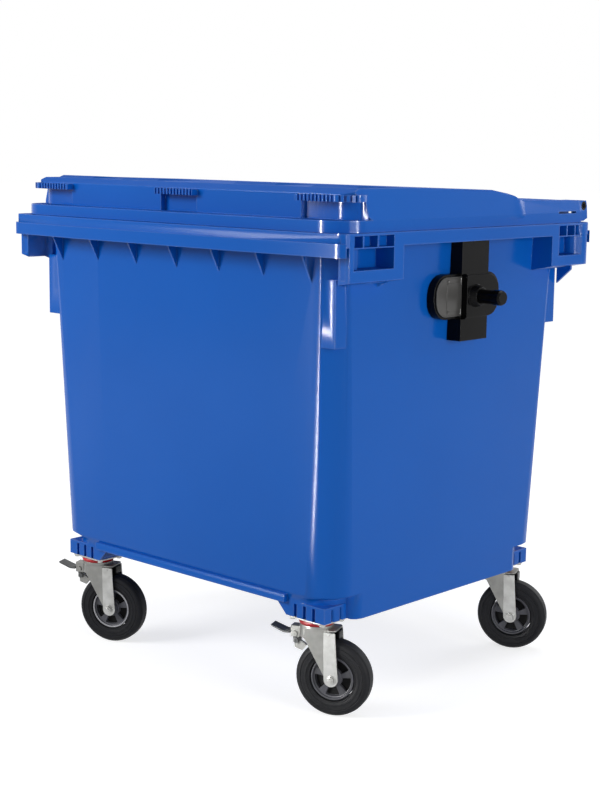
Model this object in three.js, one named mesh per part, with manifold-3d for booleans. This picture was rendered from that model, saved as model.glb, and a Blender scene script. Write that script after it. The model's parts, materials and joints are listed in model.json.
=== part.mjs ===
import * as THREE from "three";
import { mergeVertices } from "three/addons/utils/BufferGeometryUtils.js";
import Module from "manifold-3d";

const wasm = await Module();
wasm.setup();

// Millimetres. X runs along the container, the comb side faces -Y, Z is up from the ground.
const gap = 0.3;
const wall = 6;
const skin = 5;

// Casters, from the tyre up to the mounting plate that the tub stands on.
const wheelRadius = 100;
const wheelClearance = 25.2;
const sheet = 4;
const headThick = 8;
const sealHeight = 12.5;
const plateThick = 4;
const crownFoot = 2 * wheelRadius + wheelClearance;
const headFoot = crownFoot + sheet;
const headTop = headFoot + headThick;
const sealFoot = headTop + gap;
const plateFoot = sealFoot + sealHeight;
const plateTop = plateFoot + plateThick;

const tyreDepth = 38;
const tyreHalfWidth = 25;
const tyreShoulder = 9.5;
const tyreCrownHalf = 10;
const tyreCrownDrop = 7.6;
const tyreTaper = 1;
const rimRadius = wheelRadius - tyreDepth;
const rimHalfWidth = 20;
const rimBandDepth = 13.2;
const rimWebHalf = 8;
const hubRadius = 21;
const windowCount = 5;
const windowWidthShare = 0.52;
const axleRadius = 6;
const nutRadius = 11.4;
const nutHeight = 6;
const threadHeight = 3;
const trail = 50;
const casterYaw = THREE.MathUtils.degToRad(23);
const plateHalfX = 63;
const plateHalfY = 48;
const boltRadius = 8;
const boltHeight = 6;
const boltInset = 12;
const sealRadius = 47;
const sealSoft = 3;
const bossRadius = 32;
const headRadius = 44;
const kingpinRadius = 9;
const rivetRadius = 15;
const rivetHeight = 6;
const drumDrop = 24;
const legHalfSpan = 33.5;
const legFootRadius = 19;
const legTopWidth = 36;
const legLean = 8;
const crownLip = 8;
const webReach = 30;
const webLean = 7.2;
const bumperFront = 8;
const bumperRear = 16;
const bumperHalfWidth = 16;

// Tub: half sizes at the mouth, under the rim, and how far the walls draw in below it.
const topHalfX = 558.5;
const topHalfY = 477;
const draftX = 27.5;
const draftY = 28;
const footStepX = 31;
const footStepY = 12;
const floorLift = 35;
const kneeRise = 34;
const kneeDrop = 14;
const creaseRise = 150;
const mouthRise = 914;
const panelBow = 5;
const cornerCut = 50;
const cornerFillet = 9;
const footFillet = 80;
const floorZ = plateTop + floorLift;
const kneeZ = floorZ + kneeRise;
const creaseZ = kneeZ + creaseRise;
const rimTop = kneeZ + mouthRise;
const kneeHalfX = topHalfX - draftX;
const kneeHalfY = topHalfY - draftY;
const floorHalfX = kneeHalfX - footStepX;
const floorHalfY = kneeHalfY - footStepY;

// Rim: a hollow flange with a deeper band for the comb along the front and back.
const rimReachX = 69.5;
const rimReachY = 56;
const rimBow = 14;
const rimCorner = 30;
const rimRearCorner = 40;
const rimStep = 7;
const rimSkin = 8;
const bandDrop = 23;
const bandDepth = 33;
const sideDrop = 33;
const bandReturn = 15;
const finCount = 7;
const finMargin = 84.5;
const finThick = 5;
const finDrop = 78;
const finInset = 23;
const rimHalfX = topHalfX + rimReachX;
const rimHalfY = topHalfY + rimReachY;
const bandTop = rimTop - bandDrop;
const bandFoot = bandTop - bandDepth;
const sideFoot = rimTop - sideDrop;
const finPitch = (2 * (topHalfX - finMargin)) / (finCount - 1);
const creaseX = 2 * finPitch;

// Lifting blocks under the rim's ends, each with a shallow ribbed pocket over a deep one.
const blockDrop = 115;
const blockFall = 14;
const blockInset = 28;
const frontLength = 201;
const rearLength = 175;
const frontEdge = 17;
const rearEdge = 30;
const frontBays = [30, 49, 57];
const rearBays = [34, 34, 34];
const pocketRib = 5;
const pocketLift = 28;
const shelfThick = 3;
const shallowDepth = 24;
const noseWidth = 34;
const noseLength = 56;
const endSlotInset = 12;
const endSlotWidth = 16;
const endSlotDepth = 18;
const gussetThick = 8;
const frontGusset = { inset: 185, reach: 34, lip: 0, drop: 10 };
const rearGusset = { inset: 42, reach: 45, lip: 11, drop: 42 };
const postRun = 165;
const postSetX = 4;
const postSetFront = 3;
const postSetRear = 8;
const postDepth = 40;
const blockFoot = rimTop - blockDrop;
const pocketFloor = blockFoot + pocketLift;
const shelfZ = rimTop - sideDrop;
const pocketTop = rimTop - wall;
const blockFace = rimHalfX - rimStep;
const postFoot = blockFoot - postRun;

// Underside: skids along the sides, lips along front and back, ribbed blocks over the casters.
const plateMargin = 5;
const skidOverrun = 16.3;
const skidWidth = 74;
const skidCorner = 34;
const skidRamp = 6;
const skidRise = 8;
const skidSet = 2.5;
const lipHeight = 20;
const lipInset = 159;
const lipDepth = 24;
const blockSlotWidth = 10;
const blockSlotDepth = 10;
const blockSlotPitch = plateHalfX / 2;
const casterX = floorHalfX - plateHalfX - plateMargin;
const casterY = floorHalfY - plateHalfY - gap;
const skidFoot = plateTop + gap;
const skidHalfLength = casterY - plateHalfY + skidOverrun;
const lipHalfLength = kneeHalfX - lipInset;

// Trunnion: an upright channel, a long plate, a housing and the pin that a lifter takes.
const trunnionY = 22;
const trunnionDrop = 177;
const pinLength = 67.8;
const pinRadius = 20;
const pinChamfer = 3;
const shankRadius = 18;
const collarLength = 27;
const pinSeat = 30;
const channelHalfWidth = 57;
const channelDepth = 36;
const channelDrop = 115;
const plateReach = 24;
const plateFront = 148;
const plateRear = 130;
const plateHalfZ = 58;
const plateCorner = 50;
const housingReach = 21;
const housingFront = 37;
const housingRear = 100;
const housingHalfZ = 55;
const housingCorner = 44;
const neckRadius = 31;
const neckTipRadius = 24;
const neckLength = 19;
const coverThick = 3;
const coverInset = 7;
const panelLift = 1.5;
const panelLength = 61;
const panelHalfZ = 35;
const panelMargin = 3.5;
const studRadius = 4;
const studTipRadius = 2;
const studHeight = 2.5;
const trunnionZ = rimTop - trunnionDrop;
const channelFoot = trunnionZ - channelDrop;

// Lid: a skirt on the rim, a raised middle set back behind a ledge, and hinge arms at the rear.
const lidInsetX = 16;
const lidInsetFront = 15;
const lidInsetRear = 53;
const lidCorner = 85;
const ledgeRise = 29;
const ledgeDepth = 48;
const faceCorner = 60;
const faceRise = 61;
const browDepth = 32;
const crownRise = 13;
const crownY = -250;
const slopeY = 85;
const slopeDrop = 9;
const stepY = 205;
const stepDrop = 37;
const rearDrop = 43;
const sideDraft = 26;
const padRise = 6;
const padSetback = 10;
const padBrow = 70;
const padStart = 145;
const padWidth = 145;
const padEnd = 52;
const padSlope = 8;
const sidePanelFront = -93;
const sidePanelRear = 200;
const sidePanelDrop = 10;
const sidePanelStand = 4;
const lidHalfX = rimHalfX - lidInsetX;
const lidFront = rimHalfY - lidInsetFront;
const lidRear = rimHalfY - lidInsetRear;
const ledgeZ = rimTop + ledgeRise;
const faceFront = lidFront - ledgeDepth;
const browFront = faceFront - browDepth;
const faceTop = ledgeZ + faceRise;
const crownZ = faceTop + crownRise;
const slopeZ = crownZ - slopeDrop;
const stepZ = crownZ - stepDrop;
const rearZ = crownZ - rearDrop;
const topZ = crownZ + 2 * padRise;

// Grips: ribbed lips over recesses in the lid's front face.
const lipStand = 20;
const lipInsetX = 9;
const lipCorner = 45;
const lipDrop = 2;
const lipThick = 16;
const gripHalf = 72;
const gripLength = 182;
const gripWrap = 93;
const gripDepth = 15;
const toothPitch = 12;
const toothDepth = 7;
const lipFront = faceFront + lipStand;
const lipHalfX = lidHalfX - lipInsetX;
const lipTop = faceTop - lipDrop;
const lipFoot = lipTop - lipThick;
const gripStart = lidHalfX - gripLength;
const gripEnd = lidFront - gripWrap;

// Hinge: its axis lies along X behind the lid's rear edge.
const hingeBehind = 27;
const hingeRise = 45;
const hingePinRadius = 7;
const hingeEye = 14;
const armInset = 10;
const armWidth = 67;
const armClear = 3;
const armTail = 20;
const armLean = 4;
const armTopLean = 9;
const armHeelRise = 7.5;
const armPlate = 6;
const armSlotGap = 53;
const armSlotLength = 84;
const armSlotDrop = 16;
const armSlotHeight = 5;
const lugInset = 182;
const lugWidth = 20;
const knuckleWidth = 30;
const skirtMargin = 6;
const capRadius = 12.5;
const capDepth = 9;
const capDish = 6;
const lugInner = lidHalfX - lugInset;
const hingeY = lidRear + hingeBehind;
const hingeZ = rimTop + hingeRise;
const armFoot = rimTop + armClear;
const armOuter = lidHalfX - armInset;

// Brake: a bracket on the fork's leading side, a pedal on a cross bolt and the shoe it carries.
const cheekSpan = 14;
const cheekThick = 4;
const cheekReach = 22;
const cheekSetDown = 3.2;
const cheekHeight = 29;
const pivotStand = 11;
const pivotDrop = 23.2;
const pedalBolt = 4;
const pedalEye = 8;
const pedalHalfWidth = 18;
const pedalThick = 4.5;
const pedalLift = 4;
const pedalRoot = 13;
const pedalKnee = 29;
const pedalLength = 65;
const pedalRise = 16.6;
const shoeBoltStand = 8;
const shoeBoltDrop = 43.2;
const shoeHalfWidth = 5;
const shoeGap = 6;
const shoeHeel = 20;
const shoeFromShare = 0.81;
const shoeToShare = 0.75;
const pivot = [-headRadius - pivotStand, headFoot - pivotDrop];
const shoeBolt = [-headRadius - shoeBoltStand, headFoot - shoeBoltDrop];

const round = 16;
const smallRound = 8;
const wheelSegments = 18;

const materials = {
  blue: [0x1f57b0, 0.42, 0],
  black: [0x15161a, 0.5, 0],
  grey: [0x5f6163, 0.45, 0.6],
  zinc: [0xb4b7b8, 0.35, 0.9],
  red: [0xa3101c, 0.45, 0],
  darkRim: [0x3a3b42, 0.6, 0],
  rubber: [0x26272b, 0.85, 0],
  pedal: [0x55585a, 0.55, 0.4],
};

const part = new THREE.Group();
part.name = "wheeled_waste_container";

function solid(geometry) {
  geometry.deleteAttribute("normal");
  geometry.deleteAttribute("uv");
  const merged = mergeVertices(geometry);
  return new wasm.Manifold(
    new wasm.Mesh({
      numProp: 3,
      vertProperties: merged.attributes.position.array,
      triVerts: new Uint32Array(merged.index.array),
    }),
  );
}

const join = (...solids) => solids.flat().reduce((a, b) => a.add(b));
const cut = (base, ...tools) => tools.flat().reduce((a, b) => a.subtract(b), base);
const common = (...solids) => solids.reduce((a, b) => a.intersect(b));
const ordered = ([a, b]) => (a < b ? [a, b] : [b, a]);

function add(name, body, look, place = {}) {
  const made = body.getMesh();
  const geometry = new THREE.BufferGeometry();
  geometry.setAttribute("position", new THREE.BufferAttribute(made.vertProperties, 3));
  geometry.setIndex(new THREE.BufferAttribute(made.triVerts, 1));
  geometry.computeVertexNormals();
  const [color, roughness, metalness] = materials[look];
  const material = new THREE.MeshStandardMaterial({ color, roughness, metalness });
  const mesh = new THREE.Mesh(geometry, material);
  mesh.name = name;
  const { x = 0, y = 0, yaw = 0, side = 1 } = place;
  mesh.position.set(x, y, 0);
  mesh.rotation.z = yaw;
  mesh.scale.x = side;
  part.add(mesh);
}

function box(xs, ys, zs) {
  const [x, y, z] = [xs, ys, zs].map(ordered);
  const size = [x, y, z].map(([low, high]) => high - low);
  return solid(
    new THREE.BoxGeometry(...size).translate(...[x, y, z].map(([low, high]) => (low + high) / 2)),
  );
}

const vectors = (points) => points.map(([a, b]) => new THREE.Vector2(a, b));

function extruded(points, depth) {
  return new THREE.ExtrudeGeometry(new THREE.Shape(vectors(points)), {
    depth,
    bevelEnabled: false,
  });
}

function prismZ(points, zs) {
  return solid(extruded(points, zs[1] - zs[0]).translate(0, 0, zs[0]));
}

function prismX(points, xs) {
  const [low, high] = ordered(xs);
  const turn = new THREE.Matrix4().set(0, 0, 1, 0, 1, 0, 0, 0, 0, 1, 0, 0, 0, 0, 0, 1);
  return solid(extruded(points, high - low).applyMatrix4(turn).translate(low, 0, 0));
}

function prismY(points, ys, skew = new THREE.Matrix4()) {
  const [low, high] = ordered(ys);
  const geometry = extruded(points, high - low).rotateX(Math.PI / 2);
  return solid(geometry.translate(0, high, 0).applyMatrix4(skew));
}

function cylinder(radius, zs, segments = round) {
  const geometry = new THREE.CylinderGeometry(radius, radius, zs[1] - zs[0], segments);
  return solid(geometry.rotateX(Math.PI / 2).translate(0, 0, (zs[0] + zs[1]) / 2));
}

function rodY(radius, ys, [x, z], segments = round) {
  const [low, high] = ordered(ys);
  const geometry = new THREE.CylinderGeometry(radius, radius, high - low, segments);
  return solid(geometry.translate(x, (low + high) / 2, z));
}

function rodX(radii, xs, [y, z], segments = round) {
  const [near, far] = radii;
  const geometry = new THREE.CylinderGeometry(far, near, xs[1] - xs[0], segments);
  return solid(geometry.rotateZ(-Math.PI / 2).translate((xs[0] + xs[1]) / 2, y, z));
}

// The profile is a closed loop of radius and height, turned about the wheel's axle or the swivel.
function turned(profile, segments) {
  return new THREE.LatheGeometry(vectors([...profile, profile[0]]), segments);
}

// Convex rings with the same number of points, from the lowest level to the highest.
function loft(levels) {
  const count = levels[0].ring.length;
  const positions = levels.flatMap(({ ring, z }) => ring.flatMap(([x, y]) => [x, y, z]));
  const last = levels.length - 1;
  const foot = levels.length * count;
  positions.push(0, 0, levels[0].z, 0, 0, levels[last].z);
  const index = [];
  for (let i = 0; i < count; i++) {
    const next = (i + 1) % count;
    index.push(foot, next, i, foot + 1, last * count + i, last * count + next);
    for (let level = 0; level < last; level++) {
      const a = level * count + i;
      const b = level * count + next;
      index.push(a, b, b + count, a, b + count, a + count);
    }
  }
  const geometry = new THREE.BufferGeometry();
  geometry.setAttribute("position", new THREE.Float32BufferAttribute(positions, 3));
  geometry.setIndex(index);
  return solid(geometry);
}

function arc([x, y], radius, from, to, steps) {
  return Array.from({ length: steps + 1 }, (_, i) => {
    const angle = from + ((to - from) * i) / steps;
    return [x + radius * Math.cos(angle), y + radius * Math.sin(angle)];
  });
}

// A rectangle from low to high with its four corners rounded; radii start at the lower left.
function rounded([lowX, highX], [lowY, highY], radii, steps = 5) {
  const [a, b, c, d] = radii;
  const quarter = Math.PI / 2;
  const corner = (x, y, radius, turn) =>
    radius > 0 ? arc([x, y], radius, turn * quarter, (turn + 1) * quarter, steps) : [[x, y]];
  return [
    ...corner(lowX + a, lowY + a, a, 2),
    ...corner(highX - b, lowY + b, b, 3),
    ...corner(highX - c, highY - c, c, 0),
    ...corner(lowX + d, highY - d, d, 1),
  ];
}

// A plan with cut corners whose edges are filleted, and a front that stands out by bow.
function cutOutline(halfX, halfY, bow, crease, fillet) {
  const reach = fillet * Math.tan(Math.PI / 8);
  const eighth = Math.PI / 4;
  const centreIn = cornerCut + reach;
  const corner = (sx, sy, start) => {
    const first = [sx * (halfX - fillet), sy * (halfY - centreIn)];
    const second = [sx * (halfX - centreIn), sy * (halfY - fillet)];
    const pair = sx * sy > 0 ? [first, second] : [second, first];
    return [
      ...arc(pair[0], fillet, start, start + eighth, 2),
      ...arc(pair[1], fillet, start + eighth, start + 2 * eighth, 2),
    ];
  };
  return [
    ...corner(-1, -1, Math.PI),
    [-crease, -halfY - bow],
    [crease, -halfY - bow],
    ...corner(1, -1, 1.5 * Math.PI),
    ...corner(1, 1, 0),
    ...corner(-1, 1, Math.PI / 2),
  ];
}

function rimOutline(inset) {
  const halfX = rimHalfX - inset;
  const halfY = rimHalfY - inset;
  const front = rimCorner - inset;
  const rear = rimRearCorner - inset;
  const ring = rounded([-halfX, halfX], [-halfY, halfY], [front, front, rear, rear], 3);
  const start = ring.findIndex(([x], i) => ring[i + 1][0] - x > halfX);
  const bowed = [
    [-creaseX, -halfY - rimBow],
    [creaseX, -halfY - rimBow],
  ];
  return [...ring.slice(0, start + 1), ...bowed, ...ring.slice(start + 1)];
}

const mix = (low, high, share) => low + (high - low) * share;
const wallShare = (z) => (z - kneeZ) / (rimTop - kneeZ);
const sideX = (z) => mix(kneeHalfX, topHalfX, wallShare(z));
const frontY = (z) => mix(kneeHalfY, topHalfY, wallShare(z));

// The tub's outside grown by a margin, or its cavity when the margin is minus the wall. Its cut
// corners are sharp at the mouth and grow rounder towards the foot.
function tubBody(grow, top) {
  const sink = Math.max(-grow, 0);
  const level = (z, halfX, halfY, bow, crease, fillet = footFillet) => ({
    z,
    ring: cutOutline(halfX + grow, halfY + grow, bow, crease, fillet),
  });
  const kneeCrease = kneeHalfX + grow - cornerCut - footFillet / 2;
  const footCrease = floorHalfX + grow - cornerCut - footFillet / 2;
  const creaseFillet = mix(footFillet, cornerFillet, wallShare(creaseZ));
  return loft([
    level(floorZ + sink, floorHalfX, floorHalfY, 0, footCrease),
    level(kneeZ - kneeDrop + sink / 2, floorHalfX, floorHalfY, 0, footCrease),
    level(kneeZ + sink / 2, kneeHalfX, kneeHalfY, 0, kneeCrease),
    level(creaseZ, sideX(creaseZ), frontY(creaseZ), panelBow, creaseX, creaseFillet),
    level(top, sideX(top), frontY(top), panelBow, creaseX, cornerFillet),
  ]);
}

function rimFlange() {
  const upper = cut(
    prismZ(rimOutline(rimStep), [sideFoot, rimTop]),
    prismZ(rimOutline(rimStep + rimSkin), [sideFoot - wall, rimTop - wall]),
  );
  const band = cut(
    prismZ(rimOutline(0), [bandFoot, bandTop]),
    prismZ(rimOutline(rimSkin), [bandFoot - wall, bandTop + wall]),
    [-1, 1].map((side) =>
      box(
        [side * (rimHalfX - 2 * rimCorner), side * (rimHalfX + wall)],
        [bandReturn - rimHalfY, rimHalfY - bandReturn],
        [bandFoot - wall, bandTop + wall],
      ),
    ),
  );
  return join(upper, band);
}

function combFins() {
  const foot = bandFoot - finDrop;
  const root = frontY(foot) - wall / 2;
  const outer = rimHalfY - finInset;
  const blade = [
    [-root, foot],
    [-outer, bandFoot],
    [-outer, rimTop - wall / 2],
    [-root, rimTop - wall / 2],
  ];
  return Array.from({ length: finCount }, (_, i) => {
    const x = (i - (finCount - 1) / 2) * finPitch;
    return prismX(blade, [x - finThick / 2, x + finThick / 2]);
  });
}

// The sloping underside of a lifting block, out from where it grows from the wall.
const blockRoot = () => sideX(blockFoot) - wall / 2;
const blockUnder = (x) => blockFoot - (blockFall * (blockFace - x)) / (blockFace - blockRoot());

// A run of lifting block between two places along the side, out from an inner face.
function blockRun(side, inner, ys) {
  const wedge = [
    [side * inner, blockUnder(inner)],
    [side * blockFace, blockFoot],
    [side * blockFace, rimTop],
    [side * inner, rimTop],
  ];
  return common(prismY(wedge, ys), prismZ(rimOutline(rimStep), [blockUnder(inner) - wall, rimTop]));
}

function frontBlock(side) {
  const end = blockInset - rimHalfY;
  const behind = end + noseLength;
  const slot = [blockFace - endSlotInset, blockFace - endSlotInset - endSlotWidth];
  return join(
    cut(
      blockRun(side, blockFace - noseWidth, [end, behind + wall]),
      box(
        slot.map((x) => side * x),
        [end - wall, end + endSlotDepth],
        [blockFoot + skin, bandFoot + wall],
      ),
    ),
    blockRun(side, blockRoot(), [behind, end + frontLength]),
    gusset(side, end + frontGusset.inset, frontGusset),
  );
}

function rearBlock(side) {
  const end = rimHalfY - blockInset;
  return join(
    blockRun(side, blockRoot(), [end - rearLength, end]),
    gusset(side, end - rearGusset.inset, rearGusset),
  );
}

// What a row of shallow bays and the deep pocket under them remove from a block and the skirt.
function blockPockets(side, start, way, bays, deepFrom) {
  const out = side * (rimHalfX + wall);
  let y = start;
  const shallow = bays.map((bay) => {
    const made = box(
      [side * (blockFace - shallowDepth), out],
      [y, y + way * bay],
      [shelfZ, pocketTop],
    );
    y += way * (bay + pocketRib);
    return made;
  });
  const finish = y - way * pocketRib;
  const zs = [pocketFloor, shelfZ - shelfThick];
  return [
    ...shallow,
    box([side * (blockFace - noseWidth + wall), out], [start, finish], zs),
    box([side * (sideX(rimTop) + skin), out], [deepFrom, finish], zs),
  ];
}

function sidePockets(side) {
  const front = blockInset - rimHalfY;
  const rear = rimHalfY - blockInset - rearEdge;
  return [
    ...blockPockets(side, front + frontEdge, 1, frontBays, front + noseLength + skin),
    ...blockPockets(side, rear, -1, rearBays, rear),
  ];
}

function gusset(side, y, { reach, lip, drop }) {
  const inner = blockRoot();
  const outer = inner + reach;
  const blade = [
    [side * inner, blockUnder(inner) - drop],
    [side * outer, blockUnder(outer) - lip],
    [side * outer, blockFoot + blockFall],
    [side * inner, blockFoot + blockFall],
  ];
  return prismY(blade, [y - gussetThick / 2, y + gussetThick / 2]);
}

function cornerPost(side, way) {
  const outX = sideX(postFoot) - postSetX;
  const outY = frontY(postFoot) - (way < 0 ? postSetFront : postSetRear);
  return box(
    [side * outX, side * (outX - cornerCut)],
    [way * outY, way * (outY - postDepth)],
    [postFoot, blockFoot],
  );
}

function skid(side) {
  const outer = kneeHalfX - skidSet;
  const plan = (inset) => {
    const xs = ordered([side * (outer - inset), side * (outer - skidWidth + inset)]);
    const half = skidHalfLength - inset;
    const radius = skidCorner - inset;
    return rounded(xs, [-half, half], [radius, radius, radius, radius], 3);
  };
  const flat = skidHalfLength - skidRamp;
  const blade = [
    [-flat, skidFoot],
    [flat, skidFoot],
    [skidHalfLength, skidFoot + skidRise],
    [skidHalfLength, kneeZ],
    [-skidHalfLength, kneeZ],
    [-skidHalfLength, skidFoot + skidRise],
  ];
  return cut(
    common(prismZ(plan(0), [skidFoot, kneeZ]), prismX(blade, [0, side * rimHalfX])),
    prismZ(plan(wall), [skidFoot - wall, floorZ - wall]),
  );
}

function edgeLip(way) {
  const blade = [
    [-lipHalfLength, floorZ],
    [lipHalfLength, floorZ],
    [lipHalfLength, floorZ + lipHeight],
    [-lipHalfLength, floorZ + lipHeight],
  ];
  const face = kneeHalfY - gap;
  return prismY(blade, [way * face, way * (face - lipDepth)]);
}

function casterBlock(side, way) {
  const inner = casterX - plateHalfX;
  const innerY = casterY - plateHalfY;
  const foot = plateTop + gap;
  const chamfer = floorZ - foot;
  const blade = [
    [side * inner, foot],
    [side * floorHalfX, foot],
    [side * floorHalfX, floorZ + wall],
    [side * (inner - chamfer), floorZ + wall],
    [side * (inner - chamfer), floorZ],
  ];
  const slots = [0, 1, 2].map((i) => {
    const x = side * (inner + blockSlotPitch * (i + 1));
    return box(
      [x - blockSlotWidth / 2, x + blockSlotWidth / 2],
      [way * (floorHalfY - blockSlotDepth), way * (floorHalfY + wall)],
      [foot - wall, floorZ - gap],
    );
  });
  const sideSlots = [0, 1].map((i) => {
    const y = way * (floorHalfY - blockSlotPitch * (i + 1));
    return box(
      [side * (floorHalfX - blockSlotDepth), side * (floorHalfX + wall)],
      [y - blockSlotWidth / 2, y + blockSlotWidth / 2],
      [foot - wall, floorZ - gap],
    );
  });
  return cut(prismY(blade, [way * innerY, way * floorHalfY]), slots, sideSlots);
}

function hingeLug(side) {
  const foot = [
    [hingeY - 2 * hingeEye, rimTop - wall / 2],
    [hingeY, rimTop - wall / 2],
  ];
  const blade = [...foot, ...arc([hingeY, hingeZ], hingeEye, 0, Math.PI, 10)];
  const xs = [side * lugInner, side * (lugInner + lugWidth)];
  return prismX(blade, xs);
}

const hingeBore = (radius) =>
  rodX([radius, radius], [-rimHalfX, rimHalfX], [hingeY, hingeZ], round);

function tub() {
  const sides = [-1, 1];
  const pairs = sides.flatMap((side) => sides.map((way) => [side, way]));
  const shell = join(
    tubBody(0, rimTop),
    rimFlange(),
    combFins(),
    sides.map(frontBlock),
    sides.map(rearBlock),
    pairs.map(([side, way]) => cornerPost(side, way)),
    sides.map(skid),
    sides.map(edgeLip),
    pairs.map(([side, way]) => casterBlock(side, way)),
    sides.map(hingeLug),
  );
  return cut(
    shell,
    sides.flatMap(sidePockets),
    tubBody(-wall, rimTop + wall),
    hingeBore(hingePinRadius + gap),
  );
}

function lidSlab(inset) {
  const halfX = lidHalfX - inset;
  const front = lidFront - inset;
  const rear = inset > 0 ? lidRear + wall : lidRear;
  const radius = lidCorner - inset;
  const foot = rimTop + gap - (inset > 0 ? wall : 0);
  const plan = rounded([-halfX, halfX], [-front, rear], [radius, radius, 0, 0]);
  return prismZ(plan, [foot, ledgeZ - inset]);
}

function lidTop(inset) {
  const rear = inset > 0 ? lidRear + wall : lidRear;
  const foot = ledgeZ - (inset > 0 ? 2 * wall : wall);
  const profile = [
    [inset - faceFront, foot],
    [rear, foot],
    [rear, rearZ - inset],
    [stepY, stepZ - inset],
    [slopeY, slopeZ - inset],
    [crownY, crownZ - inset],
    [-browFront + inset / 2, crownZ - inset],
    [-faceFront + inset, faceTop - inset],
  ];
  const halfX = lidHalfX - inset;
  const radius = faceCorner - inset;
  const plan = rounded(
    [-halfX, halfX],
    [-faceFront + inset, rear],
    [radius, radius, 0, 0],
  );
  const section = [
    [-halfX, foot],
    [halfX, foot],
    [halfX, ledgeZ],
    [halfX - sideDraft, topZ],
    [sideDraft - halfX, topZ],
    [-halfX, ledgeZ],
  ];
  return common(
    prismX(profile, [-halfX, halfX]),
    prismZ(plan, [foot, topZ]),
    prismY(section, [-lidFront, rear + wall]),
  );
}

// A pad rises from the brow and fades into the crown behind it.
function pad([low, high]) {
  const base = crownZ - padRise;
  const front = padSetback - faceFront;
  const blade = [
    [front, faceTop - padRise],
    [padBrow - faceFront, crownZ + padRise],
    [crownY, crownZ],
    [crownY, base],
  ];
  const section = [
    [low - padSlope, base - 2 * padRise],
    [high + padSlope, base - 2 * padRise],
    [high - padSlope / 2, topZ],
    [low + padSlope / 2, topZ],
  ];
  return common(
    prismX(blade, [low - padSlope, high + padSlope]),
    prismY(section, [front, crownY]),
  );
}

const mirrored = ([low, high]) => [-high, -low];
const padSpans = [
  [padStart, padStart + padWidth],
  [lidHalfX - padEnd - padWidth, lidHalfX - padEnd],
];
const pads = () => padSpans.flatMap((xs) => [pad(xs), pad(mirrored(xs))]);

// A panel that grows out of the lid's side towards the rear, with the side's own slope.
function sidePanel(side) {
  const panelFoot = ledgeZ - sidePanelDrop;
  const blade = [
    [sidePanelFront, panelFoot],
    [sidePanelRear - sidePanelStand, panelFoot],
    [stepY, stepZ - sidePanelStand],
    [slopeY, slopeZ - sidePanelStand],
    [sidePanelFront, slopeZ],
  ];
  const inner = lidHalfX - sideDraft - wall;
  const section = [
    [side * inner, panelFoot],
    [side * lidHalfX, panelFoot],
    [side * lidHalfX, ledgeZ],
    [side * (lidHalfX - sideDraft), topZ],
    [side * inner, topZ],
  ];
  const slant = (side * sidePanelStand) / (stepY - sidePanelFront);
  const skew = new THREE.Matrix4().set(
    1, slant, 0, -slant * sidePanelFront,
    0, 1, 0, 0,
    0, 0, 1, 0,
    0, 0, 0, 1,
  );
  return common(
    prismX(blade, [side * inner, side * (lidHalfX + sidePanelStand)]),
    prismY(section, [sidePanelFront, stepY], skew),
  );
}

// The lips follow one plan, kept only where the three grips are.
function gripLips() {
  const corners = [lipCorner, lipCorner, 0, 0];
  const plan = rounded([-lipHalfX, lipHalfX], [-lipFront, 0], corners);
  const zone = (xs, rear) => box(xs, [-lidFront, -rear], [lipFoot - wall, lipTop + wall]);
  const kept = join(
    zone([-gripHalf, gripHalf], browFront),
    zone([-lidHalfX, -gripStart], gripEnd),
    zone([gripStart, lidHalfX], gripEnd),
  );
  return cut(common(prismZ(plan, [lipFoot, lipTop]), kept), toothGaps());
}

function toothGap(x, y, turn) {
  const gapBox = new THREE.BoxGeometry(toothPitch / 2, 2 * toothDepth, lipTop - lipFoot + wall);
  return solid(gapBox.rotateZ(turn).translate(x, y, (lipTop + lipFoot) / 2));
}

// Teeth along the straight front, round the corner and down the side, mirrored about X.
function toothGaps() {
  const gaps = [];
  const middle = Math.floor(gripHalf / toothPitch);
  for (let i = -middle; i < middle; i++) {
    gaps.push(toothGap((i + 1 / 2) * toothPitch, -lipFront, 0));
  }
  const bend = lipHalfX - lipCorner;
  const turns = Math.floor((lipCorner * Math.PI) / 2 / toothPitch);
  for (const side of [-1, 1]) {
    for (let x = gripStart + toothPitch; x < bend; x += toothPitch) {
      gaps.push(toothGap(side * x, -lipFront, 0));
    }
    for (let i = 1; i < turns; i++) {
      const turn = (Math.PI / 2) * (i / turns);
      const x = bend + lipCorner * Math.sin(turn);
      const y = lipCorner - lipFront - lipCorner * Math.cos(turn);
      if (y < -gripEnd - toothPitch / 2) gaps.push(toothGap(side * x, y, side * turn));
    }
  }
  return gaps;
}

// What the recesses under the grips remove, grown for the skin that stays behind them.
function gripRecesses(grow) {
  const front = lidFront + wall;
  const depth = gripDepth + grow;
  const zs = [ledgeZ - grow, lipFoot + grow];
  const plan = rounded(
    [depth - lidHalfX, lidHalfX - depth],
    [depth - faceFront, 0],
    [faceCorner, faceCorner, 0, 0],
  );
  const reach = gripHalf - skin + grow;
  const zone = join(
    box([-reach, reach], [-front, -browFront], zs),
    [-1, 1].map((side) =>
      box(
        [side * (gripStart + skin - grow), side * (lidHalfX + wall)],
        [-front, grow - gripEnd],
        zs,
      ),
    ),
  );
  return cut(zone, prismZ(plan, [zs[0] - wall, zs[1] + wall]));
}

// The flat slot that runs through a hinge arm and the lid's side beside it.
function armSlot(side) {
  const rear = hingeY - armSlotGap;
  const middle = hingeZ - armSlotDrop;
  return box(
    [side * (armOuter - armWidth - wall), side * (lidHalfX + wall)],
    [rear - armSlotLength, rear],
    [middle - armSlotHeight / 2, middle + armSlotHeight / 2],
  );
}

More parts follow.
